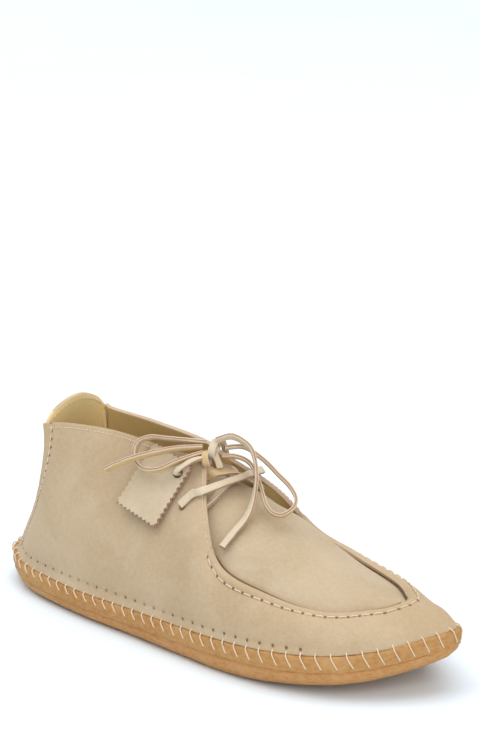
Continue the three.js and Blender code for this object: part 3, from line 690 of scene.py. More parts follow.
def crepe_material(name, colour, shade, light):
    made, tree, shader = base_material(name)
    crepe = place_group(tree, "crepe crinkle", {"Vector": object_coords(tree), "Colour": colour,
                                                "Shade": shade, "Light": light})
    tree.links.new(crepe.outputs["Colour"], shader.inputs["Base Color"])
    tree.links.new(crepe.outputs["Roughness"], shader.inputs["Roughness"])
    tree.links.new(bump(tree, crepe.outputs["Height"], 0.0005, 0.7), shader.inputs["Normal"])
    shader.inputs["Specular IOR Level"].default_value = 0.35
    shader.inputs["Subsurface Weight"].default_value = 0.12
    shader.inputs["Subsurface Scale"].default_value = 0.002
    return made


def cut_edge_material(name, colour, shade):
    """Cut edge of leather: packed fibres, duller and a little pink."""
    made, tree, shader = base_material(name)
    nap = place_group(tree, "suede nap", {"Vector": object_coords(tree), "Colour": colour, "Shade": shade,
                                          "Fibre": 2600.0, "Cloud": 120.0})
    tree.links.new(nap.outputs["Colour"], shader.inputs["Base Color"])
    tree.links.new(nap.outputs["Roughness"], shader.inputs["Roughness"])
    tree.links.new(bump(tree, nap.outputs["Height"], 0.0002, 0.7), shader.inputs["Normal"])
    shader.inputs["Specular IOR Level"].default_value = 0.2
    return made


def thread_material(name, colour, shade):
    made, tree, shader = base_material(name)
    twist = place_group(tree, "thread twist",
                        {"UV": uv_coords(tree, "thread"), "Colour": colour, "Shade": shade})
    tree.links.new(twist.outputs["Colour"], shader.inputs["Base Color"])
    tree.links.new(bump(tree, twist.outputs["Height"], 0.00015, 0.6), shader.inputs["Normal"])
    shader.inputs["Roughness"].default_value = 0.6
    shader.inputs["Specular IOR Level"].default_value = 0.3
    return made


def material(name):
    """The finished material of that name, made the first time it is asked for."""
    return bpy.data.materials.get(name) or MATERIALS[name]()


def tint(name, depth=1.0):
    """One of the shoe's colours with full alpha; a depth above 1 deepens it as dye in hide does."""
    return (*(c ** depth for c in getattr(bpy.context.scene.moccasin_colours, name)), 1.0)


def stitch_rows():
    """Rows of awl holes: UV layer, pitch, distance from the edge, radius and offset of the first hole."""
    sewing = bpy.context.scene.moccasin_sewing
    return [("lower_edge", sewing.sole_pitch, SOLE_ROW, 0.85, 0.0),
            ("top_edge", sewing.apron_pitch, APRON_ROW, 0.82, 0.5),
            ("rear_edge", sewing.heel_pitch, HEEL_ROW, 0.66, 0.5)]


MATERIALS = {
    "wall_suede": lambda: suede_material("wall_suede", tint("suede"), tint("suede", 1.35), stitch_rows()),
    "heel_suede": lambda: suede_material("heel_suede", tint("suede"), tint("suede", 1.35), stitch_rows()[:1]),
    "apron_suede": lambda: suede_material("apron_suede", tint("apron"), tint("apron", 1.35), crease="crease"),
    "tag_nap": lambda: suede_material("tag_nap", tint("tag"), tint("tag", 1.35)),
    "tag_edge": lambda: cut_edge_material("tag_edge", tint("cut_core", 0.9), tint("cut_core", 1.3)),
    "golden_grain": lambda: grain_material("golden_grain", tint("lining"), tint("lining", 1.25)),
    "cut_edge": lambda: cut_edge_material("cut_edge", tint("suede", 0.85), tint("cut_core", 0.75)),
    "lace_suede": lambda: cut_edge_material("lace_suede", tint("lace"), tint("lace", 1.35)),
    "lace_edge": lambda: cut_edge_material("lace_edge", tint("cut_core"), tint("cut_core", 1.25)),
    "lace_grain": lambda: grain_material("lace_grain", tint("lace_grain"), tint("lace_grain", 1.3)),
    "stitched_crepe": lambda: crepe_material("stitched_crepe", tint("crepe"), tint("crepe", 1.25),
                                             tint("crepe", 0.85)),
    "ground_crepe": lambda: crepe_material("ground_crepe", tint("ground_crepe"), tint("ground_crepe", 1.25),
                                           tint("ground_crepe", 0.85)),
    "fibre_board": lambda: cut_edge_material("fibre_board", tint("lining", 1.2), tint("lining", 1.5)),
    # the deeper thread colour is the painted shade in the grooves between the plies
    "waxed_thread": lambda: thread_material("waxed_thread", tint("thread"), tint("thread", 1.6)),
}


# ---------------------------------------------------------------- sizes a user would change
class MoccasinSewing(bpy.types.PropertyGroup):
    sole_pitch: FloatProperty(name="Sole stitch", default=7.6, min=3, max=12,
                              description="Length of one whip stitch along the sole, millimetres")
    apron_pitch: FloatProperty(name="Apron stitch", default=5.5, min=3, max=9,
                               description="Length of one running stitch of the apron seam, millimetres")
    heel_pitch: FloatProperty(name="Heel stitch", default=4.3, min=2, max=8,
                              description="Length of one stitch of the heel seams, millimetres")
    top_pitch: FloatProperty(name="Topstitch", default=2.6, min=1.5, max=6,
                             description="Length of one fine stitch along the collar, millimetres")
    thread: FloatProperty(name="Thread", default=0.00072, min=0.0003, max=0.002, unit="LENGTH",
                          description="Diameter of the waxed sole thread")
    fine_thread: FloatProperty(name="Fine thread", default=0.0005, min=0.0002, max=0.001, unit="LENGTH",
                               description="Diameter of the collar's thread")


class MoccasinLeather(bpy.types.PropertyGroup):
    thickness: FloatProperty(name="Suede", default=LEATHER * MM, min=0.001, max=0.004, unit="LENGTH",
                             description="Thickness of the upper's suede")
    edge_round: FloatProperty(name="Edge", default=0.0004, min=0.0001, max=0.001, unit="LENGTH",
                              description="Rounding of the cut edges")
    wave: FloatProperty(name="Hand", default=0.35, min=0, max=1.5,
                        description="How much the soft suede waves between the seams, millimetres")


class MoccasinColours(bpy.types.PropertyGroup):
    suede: swatch("Suede", (214, 192, 161), "Brushed outer face of the quarters and the vamp")
    apron: swatch("Apron", (215, 196, 168), "Outer face of the apron and tongue, where the nap is lighter")
    tag: swatch("Tag", (225, 207, 180), "Both leaves of the hang tag")
    lining: swatch("Grain side", (255, 228, 166), "Golden grain side of the hide, which lines the shoe")
    lace_grain: swatch("Lace grain", (222, 190, 138), "Golden grain side of the lace")
    lace: swatch("Lace", (236, 220, 194), "Suede face of the lace")
    cut_core: swatch("Cut core", (190, 152, 130), "Tanned middle of a cut edge")
    crepe: swatch("Upper crepe", (203, 154, 95), "Layer of the sole that the stitches go through")
    ground_crepe: swatch("Lower crepe", (213, 160, 101), "Layer of the sole on the ground")
    thread: swatch("Thread", (250, 228, 196), "Waxed thread of all the seams")


class MoccasinStage(bpy.types.PropertyGroup):
    floor_color: FloatVectorProperty(name="Floor", subtype="COLOR", size=3, default=(0.82, 0.915, 1.0),
                                     description="Colour of the plain floor")
    power: FloatProperty(name="Light", default=0.96, min=0, max=4,
                         description="Strength of all the lights together")


# ---------------------------------------------------------------- camera
CAMERA_AZIMUTH = math.radians(41.6401)
CAMERA_ELEVATION = math.radians(16.3174)
CAMERA_LENS = 160.8
CAMERA_SENSOR = 36.0
CAMERA_PLACE = np.array((1.0592, -1.1812, 0.6056))      # metres on the last


class OBJECT_OT_moccasin_camera(bpy.types.Operator):
    """Place the camera that looks at the shoe from its outer side and a little from the front"""
    bl_idname = "object.moccasin_camera"
    bl_label = "Camera"

    def execute(self, context):
        cam = bpy.data.cameras.new("camera")
        cam.lens = CAMERA_LENS
        cam.sensor_width = CAMERA_SENSOR
        obj = bpy.data.objects.new("camera", cam)
        context.scene.collection.objects.link(obj)
        obj.location = CAMERA_PLACE + SHIFT
        obj.rotation_euler = (math.pi / 2 - CAMERA_ELEVATION, 0, CAMERA_AZIMUTH)
        cam.clip_end = 50
        context.scene.camera = obj
        return {"FINISHED"}


# ---------------------------------------------------------------- lace
LACE_CORNER = 0.3               # part of half the thickness that the lace's corners are rounded by
LACE_CORE = 0.42                # part of half the thickness that the tanned core of a cut edge takes
LACE_FINISHES = ("lace_grain", "lace_suede", "lace_edge")


def smooth_path(points, step):
    """Dense points of a smooth curve through given points, and their place along it from 0 to 1."""
    points = np.asarray(points, float)
    u = np.linspace(0, len(points) - 1, 60 * len(points))
    fine = spline(points, u)
    run = lengths(fine)
    count = max(6, round(run[-1] / step))
    at = np.interp(np.linspace(0, run[-1], count + 1), run, u)
    return spline(points, at), at / (len(points) - 1)


def lace_section(width, thick):
    """Outline of the flat lace and the finish of each side: grain above, suede below, cut edges."""
    w, h = width / 2, thick / 2
    c, core = h * LACE_CORNER, h * LACE_CORE
    edge = [(w - c, h), (w, h - c), (w + c * 0.25, core), (w + c * 0.25, -core), (w, -h + c), (w - c, -h)]
    crown = [(x * w, h + 0.04 * thick * (1 - x * x)) for x in (-0.5, 0, 0.5)]
    points = crown + edge + [(-x, -y) for x, y in crown + edge]
    slots = [0, 0, 0, 1, 1, 2, 1, 1, 1, 1, 1, 1, 1, 1, 2, 1, 1, 0]
    return np.array(points), slots


def ribbon(name, points, broad, width=LACE_WIDTH * MM, thick=LACE_THICK * MM, step=0.0011, flip=False):
    """A lace along points in metres. broad gives the direction of its flat side at each point."""
    path, place = smooth_path(points, step)
    hints = spline(np.asarray(broad, float), place * (len(broad) - 1))
    tangents = unit(np.gradient(path, axis=0))
    across = unit(hints - np.sum(hints * tangents, axis=1, keepdims=True) * tangents)
    normal = np.cross(tangents, across) * (-1 if flip else 1)
    section, side_slots = lace_section(width, thick)
    wave = 0.95 + 0.03 * np.sin(np.arange(len(path)) * 0.9) + 0.02 * np.sin(np.arange(len(path)) * 2.3 + 1)
    rings = (path[:, None, :] + section[None, :, 0:1] * wave[:, None, None] * across[:, None, :]
             + section[None, :, 1:2] * normal[:, None, :])
    count = len(section)
    faces = grid_faces(len(path), count, closed=True)
    slots = side_slots * (len(path) - 1)
    for start in (0, (len(path) - 1) * count):
        faces.append(tuple(start + k for k in range(count)))
        slots.append(2)
    run = lengths(path)
    uv = np.stack([np.repeat(run, count), np.tile(np.arange(count) / count, len(path))], axis=1)
    obj = mesh_piece(name, rings.reshape(-1, 3), faces, LACE_FINISHES, {"lace": uv}, slots)
    merge(obj, 1e-6)
    return obj, path


def finish_lace(obj, node):
    return finish_piece(obj, [node], angle=50)


def shifted(points):
    return np.asarray(points, float) + SHIFT


def end_ways():
    """The right end turns from edge-on at the knot to flat on the apron."""
    ways = []
    for i in range(len(END_RIGHT)):
        f = float(smooth((i - 3) / 4))
        ways.append((0.45 + 0.55 * f, -0.45 + 0.75 * f, 0.77 - 0.47 * f))
    return ways


class OBJECT_OT_moccasin_bow(bpy.types.Operator):
    """Tie the free part of the lace: two loops, two ends and the knot that holds them"""
    bl_idname = "object.moccasin_bow"
    bl_label = "Bow"

    def execute(self, context):
        knot = self.knot()
        left_ways, right_ways = [LOOP_STANDING] * len(LOOP_LEFT), [FACING_UP] * len(LOOP_RIGHT)
        parts = [("left_loop", LOOP_LEFT, left_ways, "lace_loop_left", "object", False),
                 ("right_loop", LOOP_RIGHT, right_ways, "lace_loop_right", "object", True),
                 ("left_end", END_LEFT, [STANDING] * len(END_LEFT), "lace_end_left", "bare", True),
                 ("right_end", END_RIGHT, end_ways(), "lace_end_right", "bare", True)]
        for name, route, broad, node, far_end, flip in parts:
            obj, path = ribbon("bow_" + name, shifted(route), broad, flip=flip)
            finish_lace(obj, node)
        finish_lace(knot, "lace_knot")
        return {"FINISHED"}

    def knot(self):
        """A cream turn stands round the middle, a turned-over one hangs below it, with the tie's tail."""
        centre, turned = np.array(KNOT), np.array(KNOT) + KNOT_TURNED
        turns = []
        for k, (middle_of, tilt, radius) in enumerate(((centre, -12, 0.98), (turned, 10, 0.86))):
            axis = Vector((1, 0.55, 0)).normalized()
            side = Vector((0, 0, 1))
            turn = Matrix.Rotation(math.radians(tilt), 3, Vector((0.6, -0.75, 0.28)))
            ring = []
            for a in np.linspace(0, 2 * math.pi, 13):
                spoke = Matrix.Rotation(a, 3, axis) @ side
                ring.append(middle_of + np.array(turn @ spoke) * KNOT_RADIUS * radius)
            obj, _ = ribbon(f"knot_turn_{k}", shifted(ring), [tuple(turn @ axis)] * len(ring), step=0.0008,
                            width=LACE_WIDTH * (1, 0.85)[k] * MM, flip=k == 0)
            turns.append(obj)
        tail = [centre, centre + (0.0022, -0.0014, -0.0022), centre + (0.0042, -0.0016, -0.0052),
                centre + (0.0052, -0.0012, -0.0084)]
        turns.append(ribbon("knot_tail", shifted(tail), [(0.8, 0.5, 0.3)] * 4, width=LACE_WIDTH * 0.8 * MM,
                            flip=True)[0])
        heart = mesh_piece("knot_heart", *self.heart())
        merge(heart, 1e-6)
        turns.append(heart)
        return join("bow_knot", turns)

    def heart(self):
        """The lace strands gathered inside the turns."""
        u, v = np.meshgrid(np.linspace(0, math.pi, 13), np.arange(16) * math.pi / 8, indexing="ij")
        fold = 1 + 0.08 * np.sin(5 * v)
        x = 1.25 * np.cos(u)
        y, z = np.sin(u) * np.cos(v) * fold, np.sin(u) * np.sin(v) * fold
        points = shifted(np.array(KNOT) + np.stack([x, y, z], axis=-1).reshape(-1, 3) * KNOT_RADIUS * 0.66)
        return points, grid_faces(13, 16, closed=True), ["lace_suede"]


OUT_FACE = LACE_THICK / 2 + GAP * 3
IN_FACE = LEATHER + LACE_THICK / 2 + GAP * 4
ALONG_SHOE = (1, 0, -0.4)


def by_side(side, s):
    return s if side < 0 else LAST_S - s


def at_eyelet(row, side, out):
    s, down = EYELETS[row]
    return lift(by_side(side, s), down, out)


def tongue_top(x, y, above):
    return (x, y, float(along(CREST, x)) + LACE_THICK / 2 + GAP + above)


class OBJECT_OT_moccasin_lacing(bpy.types.Operator):
    """Lace the shoe: the bar over the tongue, the crosses under the facings and the risers to the knot"""
    bl_idname = "object.moccasin_lacing"
    bl_label = "Lacing"

    def execute(self, context):
        self.bar()
        for name, side, over in (("near", -1, 0.3), ("far", 1, LACE_THICK + 9 * GAP)):
            self.cross(name, side, over)
        ways = [(1, 0.4, 0.4), (1, 0.4, 0.4), (1, 0.4, 0.4), (1, 0.4, 0), (1, 0.3, 0), (1, 0, 0.2)]
        near_route = [at_eyelet(0, -1, 0.6), *RISER_NEAR]
        near, _ = ribbon("riser_near", to_frame(near_route), ways, LACE_WIDTH * 0.7 * MM)
        finish_lace(near, "lace_riser_near")
        far_route = [at_eyelet(0, 1, OUT_FACE), (-11.5, 10.4, 96.2), (-8.4, 4.4, 99.6), (-7.5, 0.8, 99.4)]
        far, _ = ribbon("riser_far", to_frame(far_route),
                        [(1, 0, 0.8), (1, 0, 0.4), (1, 0, 0.2), (1, 0, 0.2)], LACE_WIDTH * 0.8 * MM)
        finish_lace(far, "lace_riser_far")
        return {"FINISHED"}

    def bar(self):
        def side_points(side):
            return [at_eyelet(1, side, OUT_FACE), lift(by_side(side, 4.24), 18, OUT_FACE + 0.1),
                    lift(by_side(side, 4.44), 9, OUT_FACE + 0.5),
                    lift(by_side(side, 4.66), 1, OUT_FACE + 0.9)]
        route = side_points(-1) + [tongue_top(7, -9, 4.6), tongue_top(8, 0, 5.4), tongue_top(8, 9, 5.6)]
        route += side_points(1)[::-1]
        ways = [ALONG_SHOE] * 3 + [(1, 0.3, -0.6)] + [ALONG_SHOE] * 3 + [(1, -0.3, -0.6)] + [ALONG_SHOE] * 3
        obj, _ = ribbon("lower_bar", to_frame(route), ways)
        finish_lace(obj, "lace_lower_bar")

    def cross(self, name, side, over):
        route = [at_eyelet(1, side, -IN_FACE), lift(by_side(side, 4.45), 14, -IN_FACE - 0.2),
                 lift(by_side(side, 4.78), 1, -IN_FACE - 0.8), tongue_top(3.4, side * 4, over),
                 tongue_top(-0.5, -side * 7, over + 0.8), lift(by_side(-side, 4.1), 6, -IN_FACE - 0.9),
                 at_eyelet(0, -side, -IN_FACE - 0.6)]
        ways = [(1, 0, 0.6), (1, 0, 0.6), (1, 0, 0.3), (1, side * 0.5, -0.3), (1, side * 0.5, -0.3),
                (1, 0, 0.3), (1, 0, 0.6)]
        obj, _ = ribbon("cross_" + name, to_frame(route), ways)
        finish_lace(obj, "lace_cross_" + name)


# ---------------------------------------------------------------- upper
ROW_STEP = 1.35                 # millimetres between mesh columns along the upper
EDGE_FLARE = ((-150, 1.5), (-60, 1.8), (60, 1.7), (110, 1.0), (145, 0.6))    # of the lower edge, by x
SOLE_HOLES = ((-150, 5.0), (-60, 5.0), (0, 4.2), (50, 3.2), (92, 2.4), (150, 2.4))     # above the edge, by x
LAST_HOLE_X = 92                # the sole's row of awl holes shows as far as here
NO_HOLES = 60.0                 # distance from an edge that keeps a stretch clear of its holes
DENT_DEPTH = 0.35               # millimetres
FAR_EDGE_RISE = 1.2             # how much the inner edge of the vamp stands up along the apron seam
WALL_SHARE = np.concatenate([np.linspace(0, 0.16, 15)[:-1], np.linspace(0.16, 1, 42)])


def station_steps(first, last, curve, step):
    """Parameters that keep every whole station and are about one step apart between them."""
    out = [first]
    for k in range(int(first), int(last)):
        run = lengths(curve(np.linspace(k, k + 1, 30)))[-1]
        count = max(2, math.ceil(run / step))
        out += list(k + (np.arange(count) + 1) / count)
    return np.array(out)


def hand_wave(points):
    """Soft unevenness of suede between its seams, millimetres."""
    x, y, z = points[..., 0], points[..., 1], points[..., 2]
    return (np.sin(x * 0.061 + z * 0.05 + 1.0) * np.sin(z * 0.09 + y * 0.04)
            + 0.6 * np.sin(x * 0.13 - z * 0.11 + 2.1) * np.sin(y * 0.1 + x * 0.05)
            + 0.35 * np.sin(x * 0.31 + z * 0.27) * np.sin(z * 0.23 - y * 0.2 + 0.7))


def dent(across, along_wall, radius):
    return np.exp(-(across ** 2 + along_wall ** 2) / (2 * radius ** 2))


def far_edge_rise(s, down):
    """How far the inner side of the vamp stands up by its seam, millimetres."""
    far = np.where(s > TIP, smooth((LAST_S - SEAM_START + 0.3 - s) / 1.2) * smooth((s - TIP - 0.2) / 1.0), 0)
    return FAR_EDGE_RISE * far * smooth((12 - down) / 12)


def solid_leather(obj, thickness, edge_round, even=True):
    """Give a sheet its thickness inwards; its finishes are outside, inside and cut edge."""
    apply_modifier(obj, "SOLIDIFY", thickness=thickness, offset=-1, use_even_offset=even,
                   material_offset=1, material_offset_rim=2)
    apply_modifier(obj, "BEVEL", width=edge_round, segments=2, limit_method="ANGLE",
                   angle_limit=math.radians(55))


class OBJECT_OT_moccasin_wall(bpy.types.Operator):
    """Shape the vamp and quarters in one piece of suede and punch the lace holes"""
    bl_idname = "object.moccasin_wall"
    bl_label = "Vamp and quarters"

    def execute(self, context):
        sewing, leather = context.scene.moccasin_sewing, context.scene.moccasin_leather
        s = station_steps(0, LAST_S, lambda v: skin(v, np.full(len(v), 0.35)), ROW_STEP)
        t = WALL_SHARE
        ss, tt = np.meshgrid(s, t, indexing="ij")
        points, normals = skin(ss, tt), outward(ss, tt)
        up = np.concatenate([np.zeros((len(s), 1)),
                             np.cumsum(np.linalg.norm(np.diff(points, axis=1), axis=2), axis=1)], axis=1)
        down = up[:, -1:] - up
        row_above = along(SOLE_HOLES, points[..., 0])
        sole_v = np.where(points[..., 0] > LAST_HOLE_X, NO_HOLES, up + SOLE_ROW - row_above)
        sole_count = evenly(lambda v: skin(v, np.zeros(len(v))), 0, LAST_S, sewing.sole_pitch)[1](s)
        seam_count = seam_stitches(sewing.apron_pitch)[1](s)
        edge_in, edge_count = rear_edge(points, s, sewing.heel_pitch)
        in_seam = (s > SEAM_START - 0.4) & (s < LAST_S - SEAM_START + 0.4)
        seam_v = np.where(in_seam[:, None], down, NO_HOLES)
        # the nap dips at every awl hole and between the seams the suede moves a little
        along_sole = (np.mod(sole_count, 1) - 0.5)[:, None] * sewing.sole_pitch
        along_seam = (np.mod(seam_count + 0.5, 1) - 0.5)[:, None] * sewing.apron_pitch
        holes = dent(along_sole, sole_v - SOLE_ROW, 1.3) * DENT_DEPTH
        holes = holes + dent(along_seam, seam_v - APRON_ROW, 1.2) * DENT_DEPTH
        roll = np.where(in_seam[:, None], -1.1 * smooth((2.6 - down) / 2.6), 0)
        swell = np.where(in_seam[:, None], 0.5 * np.exp(-((down - 2.7) / 1.5) ** 2), 0)
        flare = along(EDGE_FLARE, points[..., 0]) * np.exp(-(up / 2.2) ** 2)
        calm = smooth(up / 12) * smooth(down / 12)
        push = -holes + roll + swell + leather.wave * hand_wave(points) * calm
        level = normals * (1, 1, 0)
        points = points + normals * push[..., None] + unit(level) * flare[..., None]
        points[..., 2] += far_edge_rise(s[:, None], down)
        uvs = {"lower_edge": np.stack([np.broadcast_to(sole_count[:, None], up.shape), sole_v], axis=-1),
               "top_edge": np.stack([np.broadcast_to(seam_count[:, None], up.shape), seam_v], axis=-1),
               "rear_edge": np.stack([edge_count, edge_in], axis=-1)}
        obj = mesh_piece("vamp_and_quarters_suede", to_frame(points.reshape(-1, 3)),
                         grid_faces(len(s), len(t)), ["wall_suede", "golden_grain", "cut_edge"],
                         {k: v.reshape(-1, 2) for k, v in uvs.items()})
        solid_leather(obj, leather.thickness, leather.edge_round)
        self.punch(obj)
        finish_piece(obj, ["vamp_and_quarters"])
        return {"FINISHED"}

    def punch(self, obj):
        drills = []
        for s, down in EYELETS:
            for side in (-1, 1):
                one = by_side(side, s)
                t = t_below_top(one, down)
                at, way = to_frame(skin(one, t)[0]), Vector(outward(one, t)[0])
                turn = way.to_track_quat("Z", "Y").to_euler()
                bpy.ops.mesh.primitive_cylinder_add(vertices=28, radius=EYELET / 2 * MM, depth=0.012,
                                                    location=at, rotation=turn)
                drills.append(bpy.context.object)
        drill = join("eyelet_drill", drills)
        apply_modifier(obj, "BOOLEAN", object=drill, operation="DIFFERENCE", solver="EXACT")
        bpy.data.objects.remove(drill)


def seam_stitches(pitch):
    """Stitches of the apron seam along the top edge of the vamp."""
    return evenly(lambda v: skin(v, np.ones(len(v))), SEAM_START - 0.35, LAST_S - SEAM_START + 0.35, pitch)


def rear_edge(points, s, pitch):
    """Distance from the quarter's rear edge and stitch count up it, for every point of the wall."""
    distance = np.full(points.shape[:2], NO_HOLES)
    count = np.zeros(points.shape[:2])
    for edge, order in ((0, range(0, 40)), (-1, range(len(s) - 1, len(s) - 41, -1))):
        line = points[edge]
        run = lengths(line)
        n = max(1, round(run[-1] / pitch))
        for i in order:
            distance[i] = np.linalg.norm(points[i] - line, axis=1)
            count[i] = run / run[-1] * n
    return distance, count


HEEL_LAP = 1 / 3
LAP_SIDE = 16.5                 # beyond this half width only the lap's edges are left, millimetres
HEEL_DEPTH = LEATHER + 3 * GAP
HEEL_HEIGHT = 84                # up the heel piece from the feather line, near enough for its stitches


def heel_rails(h, side):
    top, upper, lower, foot = h
    row = [foot[0], side * foot[1], float(along(FOOTBED, foot[0])) + GAP]
    for x, w, z in (lower, upper, top):
        row += [x, side * w, z]
    return np.array(row, float)


def heel_surface(u, t):
    """u runs 0 to 6 from under the outer quarter to under the inner quarter."""
    u, t = np.broadcast_arrays(np.atleast_1d(np.asarray(u, float)), np.asarray(t, float))
    shape = u.shape
    u, t = u.ravel(), t.ravel()
    tucked = t * 0.97
    half = (tucked + t) / 2
    fixed = [bezier(np.broadcast_to(heel_rails(h, side), (len(t), 12)), t)
             for h, side in ((HEEL_SIDE, -1), (HEEL_MID, 0), (HEEL_SIDE, 1))]
    rows = [under(np.full(len(t), HEEL_LAP), tucked, HEEL_DEPTH), under(np.zeros(len(t)), half, HEEL_DEPTH),
            *fixed, under(np.full(len(t), float(LAST_S)), half, HEEL_DEPTH),
            under(np.full(len(t), LAST_S - HEEL_LAP), tucked, HEEL_DEPTH)]
    rows = np.array(rows)
    rows = np.concatenate([2 * rows[:1] - rows[1:2], rows, 2 * rows[-1:] - rows[-2:-1]])
    i = np.clip(np.floor(u).astype(int), 0, 5)
    f = (u - i)[:, None]
    k = np.arange(len(u))
    a, b, c, d = rows[i, k], rows[i + 1, k], rows[i + 2, k], rows[i + 3, k]
    return between(a, b, c, d, f).reshape(shape + (3,))


class OBJECT_OT_moccasin_heel(bpy.types.Operator):
    """Shape the heel piece with its pull tab, lapped inside the quarters"""
    bl_idname = "object.moccasin_heel"
    bl_label = "Heel piece"

    def execute(self, context):
        sewing, leather = context.scene.moccasin_sewing, context.scene.moccasin_leather
        u, t = np.linspace(0, 6, 49), WALL_SHARE
        uu, tt = np.meshgrid(u, t, indexing="ij")
        points = heel_surface(uu, tt)
        up = np.concatenate([np.zeros((len(u), 1)),
                             np.cumsum(np.linalg.norm(np.diff(points, axis=1), axis=2), axis=1)], axis=1)
        count = heel_stitches(sewing.sole_pitch)[1](u)
        points[:, 0, 2] = footbed(points[:, 0, 0]) + GAP
        counts = np.broadcast_to(count[:, None], up.shape)
        uvs = {"lower_edge": np.stack([counts, up], axis=-1).reshape(-1, 2)}
        obj = mesh_piece("heel_piece_suede", to_frame(points.reshape(-1, 3)),
                         [f[::-1] for f in grid_faces(len(u), len(t))],
                         ["heel_suede", "golden_grain", "cut_edge"], uvs)
        solid_leather(obj, leather.thickness, leather.edge_round)
        for face in obj.data.polygons:
            if face.material_index == 2 and abs(face.center.y - SHIFT[1]) > LAP_SIDE * MM:
                face.material_index = 1
        finish_piece(obj, ["heel_piece"])
        return {"FINISHED"}


def heel_stitches(pitch):
    return evenly(lambda v: heel_surface(v, np.zeros(len(v))), 1.15, 4.85, pitch)


CROWN_STEPS = 8
APRON_START = 3.6
# in the code this only shifts the painted crease shade on the apron, on its near side
EDGE_REACH = 0.8                # the vamp's near edge stands over this much of the apron
CROWN_LEAN = 0.24               # share of the crown's rise that is missing at its inner side


def tongue_depth(s):
    return LEATHER + GAP + (LACE_THICK + 11 * GAP) * smooth((6.4 - s) / 0.9)


def apron_row(s):
    flap_in = SEAM_LAP + 16 * float(smooth((SEAM_START - s) / 2.2))
    flap_out = 15 * float(smooth((SEAM_START - s) / 2))
    depth = float(tongue_depth(s))
    marks = (flap_in, (flap_in + flap_out) / 2, flap_out)
    flanks = []
    for station in (s, LAST_S - s):
        t = t_below_top(np.full(3, station), np.array(marks))
        flanks.append(under(np.full(3, station), t, np.full(3, depth)))
    outer, inner = flanks
    a, b = outer[2], inner[2]
    rise = max(0, float(along(CREST, (a[0] + b[0]) / 2)) - (a[2] + b[2]) / 2)
    lean = float(smooth((s - SEAM_START) / 1.5))
    f = (np.arange(1, CROWN_STEPS) / CROWN_STEPS)[:, None]
    crown = a * (1 - f) + b * f
    crown[:, 2] += rise * (1 - (2 * f[:, 0] - 1) ** 2) ** 0.85 * (1 - CROWN_LEAN * lean * f[:, 0])
    return np.concatenate([outer, crown, inner[::-1]])


class OBJECT_OT_moccasin_apron(bpy.types.Operator):
    """Shape the apron and tongue, one piece tucked under the vamp's edge"""
    bl_idname = "object.moccasin_apron"
    bl_label = "Apron and tongue"

    def execute(self, context):
        leather = context.scene.moccasin_leather
        coarse = np.array([apron_row(s) for s in np.arange(APRON_START, TIP + 0.01, 0.2)])
        across = np.linspace(0, coarse.shape[1] - 1, 64)
        rows = np.array([spline(row, across) for row in coarse])
        down = np.linspace(0, len(rows) - 1, 150)
        points = spline(rows.reshape(len(rows), -1), down).reshape(len(down), len(across), 3)
        calm = np.sin(np.linspace(0, math.pi, len(across)))[None, :] ** 0.5
        points[..., 2] += leather.wave * 0.7 * hand_wave(points) * calm
        # distance from the crease line, which the apron's material uses to paint shade along it
        crease = self.from_crease(points, across)
        obj = mesh_piece("apron_and_tongue_suede", to_frame(points.reshape(-1, 3)),
                         grid_faces(len(down), len(across)), ["apron_suede", "golden_grain", "cut_edge"],
                         {"crease": np.stack([crease, crease], axis=-1).reshape(-1, 2)})
        if obj.data.polygons[len(obj.data.polygons) // 2].normal.z < 0:
            obj.data.flip_normals()
        solid_leather(obj, leather.thickness, leather.edge_round, even=False)
        finish_piece(obj, ["apron_and_tongue"])
        return {"FINISHED"}

    def from_crease(self, points, across):
        """Millimetres from the line where the vamp's edge lies on the apron, for every point."""
        run = np.cumsum(np.linalg.norm(np.diff(points, axis=1, prepend=points[:, :1]), axis=2), axis=1)
        last_row = 2 * 3 + CROWN_STEPS - 2
        at = [np.array([np.interp(k, across, row) for row in run])[:, None] for k in (2, last_row - 2)]
        return np.minimum(np.abs(run - at[0] - EDGE_REACH), np.abs(run - at[1]))


# ---------------------------------------------------------------- sole
RIBS = 260
ACROSS = 10


def sole_layer(name, finish, levels):
    """levels: from the underside to the top, pairs of distance out from the feather line and height of x."""
    w = np.linspace(0, RING_HALF, RIBS + 1)
    sides = [outline(w), outline(-w)]

    def edge(side, level):
        (at, way), (out, height) = sides[side], level
        xy = at + way * out
        return np.column_stack([xy, height(xy[:, 0])])

    def across(level):
        a, b = edge(0, level), edge(1, level)
        made = []
        for m in range(1, ACROSS):
            p = a + (b - a) * m / ACROSS
            p[:, 2] = level[1](p[:, 0])
            made.append(p)
        return made

    loops = [edge(0, level) for level in levels][::-1] + across(levels[0])
    loops += [edge(1, level) for level in levels] + across(levels[-1])[::-1]
    points = np.stack(loops, axis=1)
    obj = mesh_piece(name, to_frame(points.reshape(-1, 3)), grid_faces(RIBS + 1, len(loops), closed=True),
                     [finish])
    merge(obj, 2e-6)
    return obj


def crepe_lumps(obj, amount, keep_under=None):
    """The moulded, slightly wandering surface of natural crepe, as real relief."""
    count = len(obj.data.vertices)
    co, way = np.empty(count * 3), np.empty(count * 3)
    obj.data.vertices.foreach_get("co", co)
    obj.data.vertices.foreach_get("normal", way)
    co, way = co.reshape(-1, 3), way.reshape(-1, 3)
    p = co / MM
    lump = (np.sin(p[:, 0] * 0.9 + 2 * np.sin(p[:, 2] * 0.7)) * np.sin(p[:, 2] * 1.9 + p[:, 0] * 0.21)
            + 0.7 * np.sin(p[:, 0] * 0.37 + p[:, 1] * 0.4) * np.sin(p[:, 1] * 0.8 + p[:, 0] * 0.45 + 1))
    mask = np.ones(count) if keep_under is None else (co[:, 2] > keep_under * MM)
    co += way * (lump * mask * amount * MM)[:, None]
    obj.data.vertices.foreach_set("co", co.ravel())
    obj.data.update()


